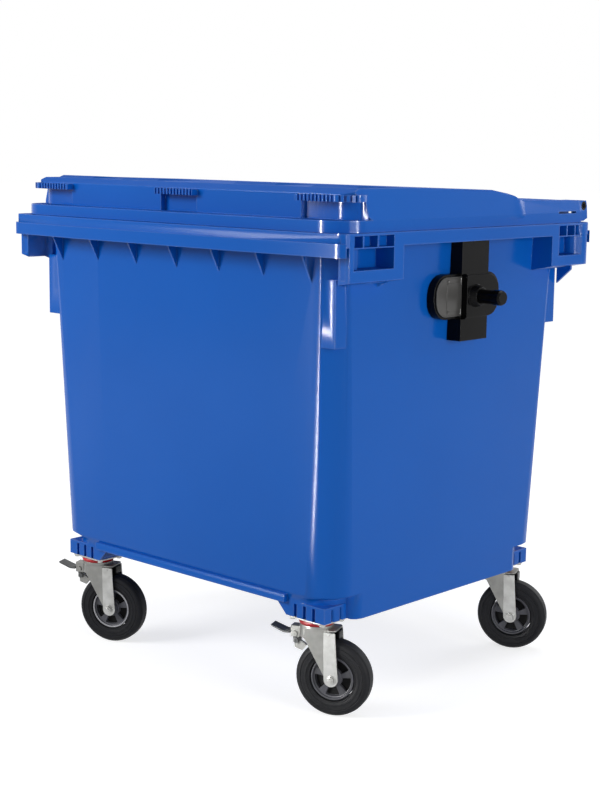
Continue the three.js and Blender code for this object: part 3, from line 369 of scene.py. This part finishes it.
def openEdit(piece, kind="FACE"):
    makeActive(piece)
    bpy.ops.object.mode_set(mode="EDIT")
    bpy.ops.mesh.select_mode(type=kind)
    bpy.ops.mesh.select_all(action="DESELECT")


def pickFaces(piece, test):
    mesh = bmesh.from_edit_mesh(piece.data)
    for face in mesh.faces:
        face.select_set(bool(test(face.calc_center_median(), face.normal)))
    mesh.select_flush_mode()
    bmesh.update_edit_mesh(piece.data)


def pickEdges(piece, test):
    bpy.ops.mesh.select_mode(type="EDGE")
    mesh = bmesh.from_edit_mesh(piece.data)
    for edge in mesh.edges:
        edge.select_set(bool(test(edge.verts[0].co, edge.verts[1].co)))
    mesh.select_flush_mode()
    bmesh.update_edit_mesh(piece.data)


def pickVerts(piece, test):
    bpy.ops.mesh.select_mode(type="VERT")
    mesh = bmesh.from_edit_mesh(piece.data)
    for vert in mesh.verts:
        vert.select_set(bool(test(vert.co)))
    mesh.select_flush_mode()
    bmesh.update_edit_mesh(piece.data)


def near(value, target, slack=0.0004):
    return abs(value - target) < slack


def extrudeBy(x, y, z):
    bpy.ops.mesh.extrude_region_move(TRANSFORM_OT_translate={"value": (x, y, z)})


def closeEdit(piece):
    bpy.ops.mesh.select_all(action="SELECT")
    bpy.ops.mesh.normals_make_consistent(inside=False)
    bpy.ops.object.mode_set(mode="OBJECT")


def addModifier(piece, kind, **values):
    makeActive(piece)
    modifier = piece.modifiers.new(kind.lower(), kind)
    for key, value in values.items():
        setattr(modifier, key, value)
    bpy.ops.object.modifier_apply(modifier=modifier.name)


# rounded edges of real width, then normals that keep the flat faces flat
def softenEdges(piece, width, angle=32.0, segments=2):
    if width:
        addModifier(piece, "BEVEL", width=width, segments=segments, limit_method="ANGLE",
                    angle_limit=math.radians(angle), use_clamp_overlap=True, miter_outer="MITER_ARC")
    makeActive(piece)
    bpy.ops.object.shade_smooth_by_angle(angle=math.radians(angle + 8.0))
    addModifier(piece, "WEIGHTED_NORMAL", keep_sharp=True)


# pieces whose finish in the photograph isn't their slot's usual one
ownFinish = {"caster_plate": ("brightZinc", "zinc_steel"), "brake_shoe": ("zincSteel", "zinc_steel")}


def finishPiece(piece, name):
    piece.name = name + "_dressed"
    slot = slotOfNode[name]
    finish = finishOfSlot[slot]
    for key, own in ownFinish.items():
        if name.startswith(key):
            finish, slot = own
    if not piece.data.materials:
        piece.data.materials.append(finishes[finish])
    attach(piece, bodyOfNode(name))
    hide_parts(name)
    return piece


# a merged copy of a moulded or pressed piece, with its round faces smooth
def dressNode(name, angle=28.0, flat=0.35, edge=0.0, reshape=None):
    copy = nodes[name].copy()
    copy.data = nodes[name].data.copy()
    copy.parent = None
    bpy.context.collection.objects.link(copy)
    copy.data.materials.clear()
    openEdit(copy)
    bpy.ops.mesh.select_all(action="SELECT")
    bpy.ops.mesh.remove_doubles(threshold=0.00002)
    bpy.ops.mesh.dissolve_limited(angle_limit=math.radians(flat))
    if reshape:
        reshape(copy)
    bpy.ops.object.mode_set(mode="OBJECT")
    if edge:
        softenEdges(copy, edge, angle=angle, segments=2)
    else:
        bpy.ops.object.shade_smooth_by_angle(angle=math.radians(angle))
        addModifier(copy, "WEIGHTED_NORMAL", keep_sharp=True)
    return finishPiece(copy, name)


def jointAt(name):
    return next(joint for joint in frame["record"]["behaviour"]["joints"] if joint["name"] == name)


# where each caster stands and how it is turned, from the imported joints
casterPlaces = {}
for label in casters:
    swivel = jointAt("swivel_turn_" + label)["pos_m"]
    axle = jointAt("wheel_spin_" + label)["axis"]
    casterPlaces[label] = (swivel[0], swivel[1], math.atan2(-axle[0], axle[1]))


# a copy with its own mesh, moved from the swivel's own place to one caster
def placeAtCaster(model, label):
    copy = model.copy()
    copy.data = model.data.copy()
    bpy.context.collection.objects.link(copy)
    x, y, turn = casterPlaces[label]
    copy.location = (x, y, 0)
    copy.rotation_euler = (0, 0, turn)
    settle(copy)
    return copy


# a bored round piece on the Y axis: a cylinder whose two ends are inset step by step, then bridged
def turnPiece(radius, half, steps, segments):
    deselectAll()
    bpy.ops.mesh.primitive_cylinder_add(
        vertices=segments, radius=radius, depth=2 * half, rotation=(math.pi / 2, 0, 0))
    piece = bpy.context.object
    settle(piece)
    openEdit(piece)
    pickFaces(piece, lambda at, normal: abs(normal.y) > straight)
    for inward, outward in steps:
        bpy.ops.mesh.inset(thickness=inward, depth=outward)
    bpy.ops.mesh.bridge_edge_loops()
    closeEdit(piece)
    return piece


def liftPiece(piece, x, z):
    piece.location = (x, 0, z)
    settle(piece)


wheelLook = {
    "radius": 0.100, "trail": 0.050, "segments": 60,
    "tread": 0.010,
    # inward and outward steps from the tread to the bead
    "tyreSteps": [
        (0.0010, 0.0050), (0.0012, -0.0001), (0.0001, 0.0009), (0.0016, 0.0030), (0.0024, 0.0032),
        (0.0026, 0.0018), (0.0050, 0.0008), (0.0010, -0.0012), (0.0018, -0.0001), (0.0010, 0.0013),
        (0.0080, -0.0002), (0.0008, 0.0008), (0.0030, 0.0001), (0.0008, -0.0014), (0.0058, -0.0016),
        (0.0010, 0.0010), (0.0016, -0.0004), (0.0012, -0.0018),
    ],
    "rimRadius": 0.0575, "rimHalf": 0.0196,
    "rimSteps": [
        (0.0006, 0.0010), (0.0034, 0.0001), (0.0008, -0.0012), (0.0012, -0.0040), (0.0015, -0.0006),
        (0.0015, -0.0002), (0.0245, 0.0002), (0.0020, 0.0006), (0.0012, 0.0100), (0.0010, 0.0030),
        (0.0010, 0.0004), (0.0120, 0.0001),
    ],
    "windows": 5, "windowShare": 0.60, "windowIn": 0.0275, "windowOut": 0.0455, "windowDepth": 0.0110,
    "windowFloor": 0.0060, "windowDraft": 0.0002, "windowSlack": 0.001, "webFace": 0.016,
    "ringIn": 0.0520, "ringFace": 0.0185, "rimSoft": 0.0006, "paleWheel": "front_left",
}


def makeTyre(look):
    tyre = turnPiece(look["radius"], look["tread"], look["tyreSteps"], look["segments"])
    softenEdges(tyre, 0.0)
    liftPiece(tyre, look["trail"], look["radius"])
    return tyre


# a bored disc with blind windows in both faces, and a ring that is paler on one wheel
def makeRim(look):
    rim = turnPiece(look["rimRadius"], look["rimHalf"], look["rimSteps"], look["segments"])
    openEdit(rim)
    span = 2 * math.pi / look["windows"]
    for number in range(look["windows"]):
        middle = -math.pi / 2 + number * span

        def inWindow(at, normal):
            off = (math.atan2(at.z, at.x) - middle + math.pi) % (2 * math.pi) - math.pi
            reach = math.hypot(at.x, at.z)
            return (abs(normal.y) > straight and abs(at.y) < look["webFace"]
                    and abs(off) < span * look["windowShare"] / 2
                    and look["windowIn"] < reach < look["windowOut"])

        bpy.ops.mesh.select_mode(type="FACE")
        pickFaces(rim, inWindow)
        bpy.ops.mesh.inset(thickness=look["windowDraft"], depth=-look["windowDepth"], use_outset=False)
    closeEdit(rim)
    softenEdges(rim, look["rimSoft"])
    for finish in ("rimPlastic", "paintedWindowShade", "paleRing"):
        rim.data.materials.append(finishes[finish])
    inner, outer = look["windowIn"] - look["windowSlack"], look["windowOut"] + look["windowSlack"]
    for face in rim.data.polygons:
        at = face.center
        reach = math.hypot(at.x, at.z)
        # the window floors take the near-black painted shade
        if inner < reach < outer and abs(at.y) < look["windowFloor"]:
            face.material_index = 1
        elif reach > look["ringIn"] and abs(at.y) > look["ringFace"]:
            face.material_index = 2
    liftPiece(rim, look["trail"], look["radius"])
    return rim


tyreModel = makeTyre(wheelLook)
rimModel = makeRim(wheelLook)
for label in casters:
    finishPiece(placeAtCaster(tyreModel, label), "tyre_" + label)
    rim = placeAtCaster(rimModel, label)
    if label != wheelLook["paleWheel"]:
        rim.data.materials[2] = finishes["rimPlastic"]
    finishPiece(rim, "wheel_rim_" + label)
for model in (tyreModel, rimModel):
    bpy.data.objects.remove(model)
modelled = ["tyre_" + label for label in casters] + ["wheel_rim_" + label for label in casters]
print("wheels modelled")

forkLook = {
    "headRadius": 0.044, "headFoot": 0.2292, "headTop": 0.2372, "crownFoot": 0.2252, "sheet": 0.004,
    "drumFoot": 0.2030, "drumEnd": -0.021, "sheetHalf": 0.0325, "sheetRear": 0.030,
    "footFront": 0.0335, "footHeight": 0.102,
    "stripHalf": 0.0337, "footRadius": 0.019, "stripTop": (0.0290, 0.0595), "stripHeight": 0.2230,
    "pastDrum": 0.010, "footLean": 0.012, "crownFront": -0.030, "crownRear": 0.011, "crownCorner": 0.010,
    "rivets": [(-0.002, 0.0325, 0.2020), (0.0440, 0.0337, 0.2160)], "rivetRadius": 0.0032,
    "rivetHalf": 0.0012, "rivetStand": 0.0002, "round": 64, "soft": 0.0010,
}


# half a drum whose sides run back and down into the two legs
def makeForkSheet(look):
    radius, foot, end = look["headRadius"], look["drumFoot"], look["drumEnd"]
    deselectAll()
    bpy.ops.mesh.primitive_cylinder_add(
        vertices=look["round"], radius=radius, depth=look["headFoot"] - foot, end_fill_type="NOTHING",
        location=(0, 0, (look["headFoot"] + foot) / 2))
    sheet = bpy.context.object
    sheet.data.materials.append(finishes["zincSteel"])
    settle(sheet)
    openEdit(sheet)
    bpy.ops.mesh.select_all(action="SELECT")
    bpy.ops.mesh.bisect(plane_co=(end, 0, 0), plane_no=(1, 0, 0), clear_outer=True)
    side = math.sqrt(radius ** 2 - end ** 2)
    for way in (-1, 1):
        pickEdges(sheet, lambda a, b: near(a.x, end) and near(b.x, end) and min(a.y * way, b.y * way) > 0)
        extrudeBy(look["sheetRear"] - end, way * (look["sheetHalf"] - side), 0)
        pickEdges(sheet, lambda a, b: near(a.z, foot) and near(b.z, foot) and min(a.y * way, b.y * way) > 0
                  and max(a.x, b.x) > end + look["pastDrum"])
        extrudeBy(0, 0, look["footHeight"] - foot)
        pickVerts(sheet, lambda at: near(at.z, look["footHeight"]) and near(at.x, end) and at.y * way > 0)
        bpy.ops.transform.translate(value=(look["footFront"] - end, way * (look["sheetHalf"] - side), 0))
        pickVerts(sheet, lambda at: near(at.z, look["footHeight"]) and near(at.x, look["sheetRear"])
                  and at.y * way > 0)
        bpy.ops.transform.translate(value=(look["footLean"], 0, 0))
    bpy.ops.object.mode_set(mode="OBJECT")
    addModifier(sheet, "SOLIDIFY", thickness=look["sheet"], offset=-1.0)
    return sheet


# a leg's outer strip: a round foot drawn up to the crown
def makeStrip(look, way):
    half, trail, axle = look["stripHalf"], wheelLook["trail"], wheelLook["radius"]
    deselectAll()
    bpy.ops.mesh.primitive_cylinder_add(
        vertices=48, radius=look["footRadius"], depth=look["sheet"], rotation=(math.pi / 2, 0, 0),
        location=(trail, way * (half - look["sheet"] / 2), axle))
    strip = bpy.context.object
    settle(strip)
    openEdit(strip)
    bpy.ops.mesh.select_all(action="SELECT")
    bpy.ops.mesh.bisect(plane_co=(0, 0, axle), plane_no=(0, 0, 1), clear_outer=True, use_fill=True)
    bpy.ops.mesh.select_mode(type="FACE")
    pickFaces(strip, lambda at, normal: normal.z > straight and near(at.z, axle))
    low, high = look["stripTop"]
    extrudeBy((low + high) / 2 - trail, 0, look["stripHeight"] - axle)
    bpy.ops.transform.resize(value=((high - low) / (2 * look["footRadius"]), 1, 1),
                             center_override=((low + high) / 2, 0, 0))
    closeEdit(strip)
    strip.data.materials.append(finishes["brightZinc"])
    return strip


def addRound(radius, half, at, rotation=(math.pi / 2, 0, 0), segments=24, finish="brightZinc"):
    deselectAll()
    bpy.ops.mesh.primitive_cylinder_add(
        vertices=segments, radius=radius, depth=2 * half, location=at, rotation=rotation)
    piece = bpy.context.object
    piece.data.materials.append(finishes[finish])
    settle(piece)
    return piece


# the head, the crown under it, the sheet, two strips and four rivets
def makeFork(look):
    head = addRound(look["headRadius"], (look["headTop"] - look["headFoot"]) / 2,
                    (0, 0, (look["headTop"] + look["headFoot"]) / 2), (0, 0, 0), look["round"], "zincSteel")
    deselectAll()
    rear = wheelLook["trail"] + look["crownRear"]
    front = look["crownFront"]
    bpy.ops.mesh.primitive_cube_add(
        size=1, location=((rear + front) / 2, 0, (look["crownFoot"] + look["headFoot"]) / 2))
    crown = bpy.context.object
    crown.data.materials.append(finishes["zincSteel"])
    crown.scale = (rear - front, 2 * look["sheetHalf"], look["headFoot"] - look["crownFoot"])
    settle(crown)
    openEdit(crown)
    pickEdges(crown, lambda a, b: near(a.x, b.x) and near(a.y, b.y) and a.x > 0)
    bpy.ops.mesh.bevel(offset=look["crownCorner"], segments=5, affect="EDGES")
    closeEdit(crown)
    parts = [head, crown, makeForkSheet(look)] + [makeStrip(look, way) for way in (-1, 1)]
    for x, half, z in look["rivets"]:
        for way in (-1, 1):
            at = (x, way * (half + look["rivetStand"]), z)
            parts.append(addRound(look["rivetRadius"], look["rivetHalf"], at))
    fork = joinPieces(parts)
    softenEdges(fork, look["soft"], segments=3)
    return fork


axleLook = {
    "seat": 0.0339, "washer": (0.0128, 0.0016), "nut": (0.0108, 0.0062), "thread": (0.0058, 0.0030),
    "sides": {"washer": 32, "nut": 6, "thread": 20}, "overlap": 0.002, "soft": 0.0008,
}


def makeAxle(look):
    x, z = wheelLook["trail"], wheelLook["radius"]
    parts = [addRound(look["thread"][0], look["seat"] + look["overlap"], (x, 0, z))]
    for way in (-1, 1):
        out = look["seat"]
        for key, sides in look["sides"].items():
            radius, deep = look[key]
            parts.append(addRound(radius, deep / 2, (x, way * (out + deep / 2), z), segments=sides))
            out += deep
    bolt = joinPieces(parts)
    softenEdges(bolt, look["soft"], segments=3)
    return bolt


forkModel = makeFork(forkLook)
axleModel = makeAxle(axleLook)
for label in casters:
    finishPiece(placeAtCaster(forkModel, label), "fork_" + label)
    finishPiece(placeAtCaster(axleModel, label), "axle_bolt_" + label)
for model in (forkModel, axleModel):
    bpy.data.objects.remove(model)
modelled += ["fork_" + label for label in casters] + ["axle_bolt_" + label for label in casters]
print("forks and axle bolts modelled")

lidLook = {
    "panelStand": 0.0060, "panelCorner": 0.0085,
    "slopeFront": (0.085, 1.331), "slopeRear": (0.205, 1.303),
    "swell": [(0.115, 0.0022), (0.150, 0.0036), (0.180, 0.0030)], "skin": 0.0045,
    # where the panel's rear edge, its shoulder and its lower rear corner lie
    "panelFace": 0.6148, "panelRear": (0.195, 0.199), "panelRise": (1.250, 1.270),
    "shoulder": (0.6060, 0.205, 1.299), "cornerPast": 0.6115, "cornerAt": (0.196, 1.256),
}


# the slope behind the lid's crown swells a little, and its side panels stand out further
def reshapeLid(lid):
    look = lidLook
    (frontY, frontZ), (rearY, rearZ) = look["slopeFront"], look["slopeRear"]
    for y, swell in look["swell"]:
        bpy.ops.mesh.select_all(action="SELECT")
        bpy.ops.mesh.bisect(plane_co=(0, y, 0), plane_no=(0, 1, 0))
        top = frontZ + (rearZ - frontZ) * (y - frontY) / (rearY - frontY)
        pickVerts(lid, lambda at: near(at.y, y, slack=0.0002) and at.z > top - look["skin"])
        bpy.ops.transform.translate(value=(0, 0, swell))
    (nearY, farY), (lowZ, highZ) = look["panelRear"], look["panelRise"]
    shoulderX, shoulderY, shoulderZ = look["shoulder"]
    cornerY, cornerZ = look["cornerAt"]
    for way in (-1, 1):
        pickVerts(lid, lambda at: at.x * way > look["panelFace"]
                  and nearY < at.y < farY and lowZ < at.z < highZ)
        bpy.ops.transform.translate(value=(way * look["panelStand"], 0, 0))
        pickVerts(lid, lambda at: near(at.x * way, shoulderX, slack=0.0008) and near(at.y, shoulderY)
                  and near(at.z, shoulderZ, slack=0.0006))
        bpy.ops.transform.translate(value=(way * look["panelStand"], 0, 0))
        pickEdges(lid, lambda a, b: min(a.x * way, b.x * way) > look["cornerPast"]
                  and near(a.y, cornerY) and near(b.y, cornerY) and near(a.z, cornerZ) and near(b.z, cornerZ))
        bpy.ops.mesh.bevel(offset=look["panelCorner"], segments=5, affect="EDGES")
    bpy.ops.mesh.select_mode(type="FACE")


trunnionLook = {
    "dome": (0.0100, 0.0070), "domeAt": (0.6020, 0.0030, 1.0545), "domeSunk": 0.0010, "domeCut": 0.0015,
    "domeSmooth": 40,
    "coverFace": 0.5775, "coverThick": 0.0030, "coverY": (-0.1190, -0.0153), "coverHalf": 0.051,
    "trunnionZ": 1.060, "coverCorner": 0.0425, "coverSoft": 0.0005, "lip": (0.0030, -0.0008),
    "lipWall": 0.0008, "panelY": (-0.0765, -0.0190), "panelHalf": 0.0350, "panelLift": 0.0018,
    "panelSunk": 0.0003, "panelSoft": 0.0050,
    "studRadius": 0.0042, "studY": -0.0720, "studRise": 0.0400, "studSunk": 0.0010,
}


# a domed bolt on the housing of each trunnion bracket
def addDome(bracket, way):
    look = trunnionLook
    radius, rise = look["dome"]
    x, y, z = look["domeAt"]
    deselectAll()
    bpy.ops.mesh.primitive_uv_sphere_add(
        segments=28, ring_count=14, radius=radius, location=(way * (x - look["domeSunk"]), y, z))
    dome = bpy.context.object
    dome.data.materials.append(finishes["blackPlastic"])
    dome.scale = (rise / radius, 1, 1)
    settle(dome)
    openEdit(dome)
    bpy.ops.mesh.select_all(action="SELECT")
    bpy.ops.mesh.bisect(plane_co=(way * (x - look["domeCut"]), 0, 0), plane_no=(way, 0, 0),
                        clear_inner=True, use_fill=True)
    closeEdit(dome)
    makeActive(dome)
    bpy.ops.object.shade_smooth_by_angle(angle=math.radians(look["domeSmooth"]))
    joinPieces([bracket, dome])


# the cover: a plate with one round end, a sunk lip, a raised panel and two round studs
def makeCover(way):
    look = trunnionLook
    (front, rear), half, face = look["coverY"], look["coverHalf"], look["coverFace"]
    deselectAll()
    bpy.ops.mesh.primitive_cube_add(
        size=1, location=(face + look["coverThick"] / 2, (front + rear) / 2, look["trunnionZ"]))
    plate = bpy.context.object
    plate.scale = (look["coverThick"], rear - front, 2 * half)
    settle(plate)
    openEdit(plate)
    pickEdges(plate, lambda a, b: near(a.y, front) and near(b.y, front) and near(a.z, b.z))
    bpy.ops.mesh.bevel(offset=look["coverCorner"], segments=14, affect="EDGES")
    bpy.ops.mesh.select_mode(type="FACE")
    pickFaces(plate, lambda at, normal: normal.x > straight)
    bpy.ops.mesh.inset(thickness=look["lip"][0], depth=0.0)
    bpy.ops.mesh.inset(thickness=look["lipWall"], depth=look["lip"][1])
    closeEdit(plate)
    (low, high), lift, sunk = look["panelY"], look["panelLift"], look["panelSunk"]
    outer = face + look["coverThick"] + look["lip"][1]
    deselectAll()
    bpy.ops.mesh.primitive_cube_add(
        size=1, location=(outer + lift / 2 - sunk, (low + high) / 2, look["trunnionZ"]))
    panel = bpy.context.object
    panel.scale = (lift + 2 * sunk, high - low, 2 * look["panelHalf"])
    settle(panel)
    openEdit(panel)
    pickEdges(panel, lambda a, b: near(a.y, b.y) and near(a.z, b.z))
    bpy.ops.mesh.bevel(offset=look["panelSoft"], segments=4, affect="EDGES")
    closeEdit(panel)
    parts = [plate, panel]
    for rise in (-1, 1):
        deselectAll()
        bpy.ops.mesh.primitive_uv_sphere_add(
            segments=20, ring_count=10, radius=look["studRadius"],
            location=(outer, look["studY"], look["trunnionZ"] + rise * look["studRise"]))
        stud = bpy.context.object
        openEdit(stud)
        bpy.ops.mesh.select_all(action="SELECT")
        bpy.ops.mesh.bisect(plane_co=(-look["studSunk"], 0, 0), plane_no=(1, 0, 0),
                            clear_inner=True, use_fill=True)
        closeEdit(stud)
        settle(stud)
        parts.append(stud)
    cover = joinPieces(parts)
    cover.data.materials.clear()
    softenEdges(cover, look["coverSoft"])
    if way < 0:
        cover.scale = (-1, 1, 1)
        settle(cover)
        openEdit(cover)
        closeEdit(cover)
    return cover


blockLook = {
    "slotX": (0.593, 0.609), "slotZ": (1.127, 1.187), "face": -0.5046, "thick": 0.0030, "soft": 0.0004,
}


# closes the slot in the front end of a lifting block, with a faint line round the panel
def closeSlot(tub, way):
    look = blockLook
    (inner, outer), (low, high) = look["slotX"], look["slotZ"]
    deselectAll()
    bpy.ops.mesh.primitive_cube_add(size=1, location=(
        way * (inner + outer) / 2, look["face"] + look["thick"] / 2, (low + high) / 2))
    panel = bpy.context.object
    panel.data.materials.append(finishes["bluePlastic"])
    panel.scale = (outer - inner, look["thick"], high - low)
    settle(panel)
    addModifier(panel, "BEVEL", width=look["soft"], segments=2)
    joinPieces([tub, panel])


for side, way in (("left", -1), ("right", 1)):
    finishPiece(makeCover(way), "trunnion_cover_" + side)
    modelled.append("trunnion_cover_" + side)
print("trunnion covers modelled")

# the bevel width of the pieces that keep their CAD form
keptEdges = {
    "caster_plate": 0.0007, "seal_ring": 0.0006, "trail_bumper": 0.0020, "brake_bracket": 0.0007,
    "brake_pedal": 0.0007, "brake_shoe": 0.0007, "trunnion_bracket": 0.0014, "trunnion_pin": 0.0012,
    "hinge_cap": 0.0010,
}
for name in list(nodes):
    if name not in modelled:
        width = next((value for key, value in keptEdges.items() if name.startswith(key)), 0.0)
        piece = dressNode(name, edge=width, reshape=reshapeLid if name == "lid_shell" else None)
        if name.startswith("trunnion_bracket"):
            addDome(piece, 1 if name.endswith("right") else -1)
        if name == "tub_shell":
            for way in (-1, 1):
                closeSlot(piece, way)
print("pieces dressed")

# the room: a pale floor that runs far out, and a pale sky
stageLook = {
    "floor": (0.52, 0.52, 0.52), "floorSize": 80.0, "floorZ": -0.0005, "floorRough": 0.9,
    "sky": 1.0, "skyLight": 0.24,
    "glowNear": 0.71, "glowFar": 0.90, "nearReach": 1.4, "farReach": 4.5,
}

deselectAll()
bpy.ops.mesh.primitive_plane_add(size=stageLook["floorSize"], location=(0, 0, stageLook["floorZ"]))
floor = bpy.context.object
floor.name = "studioFloor"
floorMaterial = bpy.data.materials.new("studioFloor")
floorMaterial.use_nodes = True
floorTree = floorMaterial.node_tree
floorShader = floorTree.nodes["Principled BSDF"]
floorShader.inputs["Base Color"].default_value = (*stageLook["floor"], 1)
floorShader.inputs["Roughness"].default_value = stageLook["floorRough"]
floorShader.inputs["Specular IOR Level"].default_value = 0.0
floorShader.inputs["Emission Color"].default_value = (1, 1, 1, 1)
floorRays = addNode(floorTree, "ShaderNodeLightPath")
floorPlace = addNode(floorTree, "ShaderNodeTexCoord")
floorReach = addNode(floorTree, "ShaderNodeVectorMath", operation="LENGTH")
floorTree.links.new(floorPlace.outputs["Object"], floorReach.inputs[0])
glow = rangeNode(floorTree, floorReach.outputs["Value"], stageLook["nearReach"], stageLook["farReach"],
                 stageLook["glowNear"], stageLook["glowFar"])
watched = mathNode(
    floorTree, "MAXIMUM", floorRays.outputs["Is Camera Ray"], floorRays.outputs["Is Glossy Ray"])
floorTree.links.new(mathNode(floorTree, "MULTIPLY", glow, watched), floorShader.inputs["Emission Strength"])
floor.data.materials.append(floorMaterial)

world = bpy.data.worlds.new("paleStudio")
bpy.context.scene.world = world
world.use_nodes = True
sky = world.node_tree.nodes["Background"]
sky.inputs["Color"].default_value = (1, 1, 1, 1)
rays = world.node_tree.nodes.new("ShaderNodeLightPath")
seen = mathNode(world.node_tree, "MAXIMUM", rays.outputs["Is Camera Ray"], rays.outputs["Is Glossy Ray"])
seen = mathNode(world.node_tree, "MAXIMUM", seen, rays.outputs["Is Transmission Ray"])
strength = rangeNode(world.node_tree, seen, 0.0, 1.0, stageLook["skyLight"], stageLook["sky"])
world.node_tree.links.new(strength, sky.inputs["Strength"])

# large soft lamps, and two narrow ones that light nothing but the highlights along the corner
lampLooks = {
    "keyLamp": {"at": (-2.6, -4.6, 3.0), "aim": (-0.1, 0, 0.8), "size": (2.6, 2.0), "power": 222.0},
    "fillLamp": {"at": (5.0, -0.6, 1.5), "aim": (0.3, 0, 0.8), "size": (2.2, 2.0), "power": 108.0},
    "topLamp": {"at": (0.4, 1.0, 4.4), "aim": (0, 0, 1.2), "size": (2.6, 2.6), "power": 52.0},
    "rearLamp": {"at": (1.2, 5.2, 2.2), "aim": (0, 0, 0.8), "size": (2.8, 2.2), "power": 78.0},
    "leftStrip": {"at": (0.06, -1.62, 0.74), "aim": (0.54, -0.47, 0.72), "size": (0.07, 1.44), "power": 14.0,
                  "glossyOnly": True, "spread": 75.0},
    "rightStrip": {"at": (2.5, -0.12, 0.86), "aim": (0.56, -0.44, 0.95), "size": (0.16, 1.0), "power": 5.0,
                   "glossyOnly": True, "spread": 75.0},
}


def addLamp(name, look):
    lamp = bpy.data.lights.new(name, "AREA")
    lamp.shape = "RECTANGLE"
    lamp.size, lamp.size_y = look["size"]
    lamp.energy = look["power"]
    lamp.spread = math.radians(look.get("spread", 180.0))
    holder = bpy.data.objects.new(name, lamp)
    holder.location = look["at"]
    holder.rotation_euler = (Vector(look["aim"]) - Vector(look["at"])).to_track_quat("-Z", "Y").to_euler()
    holder.visible_camera = False
    holder.visible_diffuse = not look.get("glossyOnly", False)
    bpy.context.collection.objects.link(holder)


for name, look in lampLooks.items():
    addLamp(name, look)

cameraLook = {
    "at": (3.0321, -3.2717, 1.4438), "turn": (80.7481, -0.7297, 42.9134), "lens": 70.925,
    "sensor": 36.0, "far": 200.0,
}
camera = bpy.data.cameras.new("photoView")
camera.sensor_fit = "VERTICAL"
camera.sensor_height = cameraLook["sensor"]
camera.lens = cameraLook["lens"]
camera.clip_end = cameraLook["far"]
cameraHolder = bpy.data.objects.new("photoView", camera)
cameraHolder.location = cameraLook["at"]
cameraHolder.rotation_euler = [math.radians(angle) for angle in cameraLook["turn"]]
bpy.context.collection.objects.link(cameraHolder)
bpy.context.scene.camera = cameraHolder
bpy.context.scene.view_settings.view_transform = "Standard"
print("camera and lamps set")
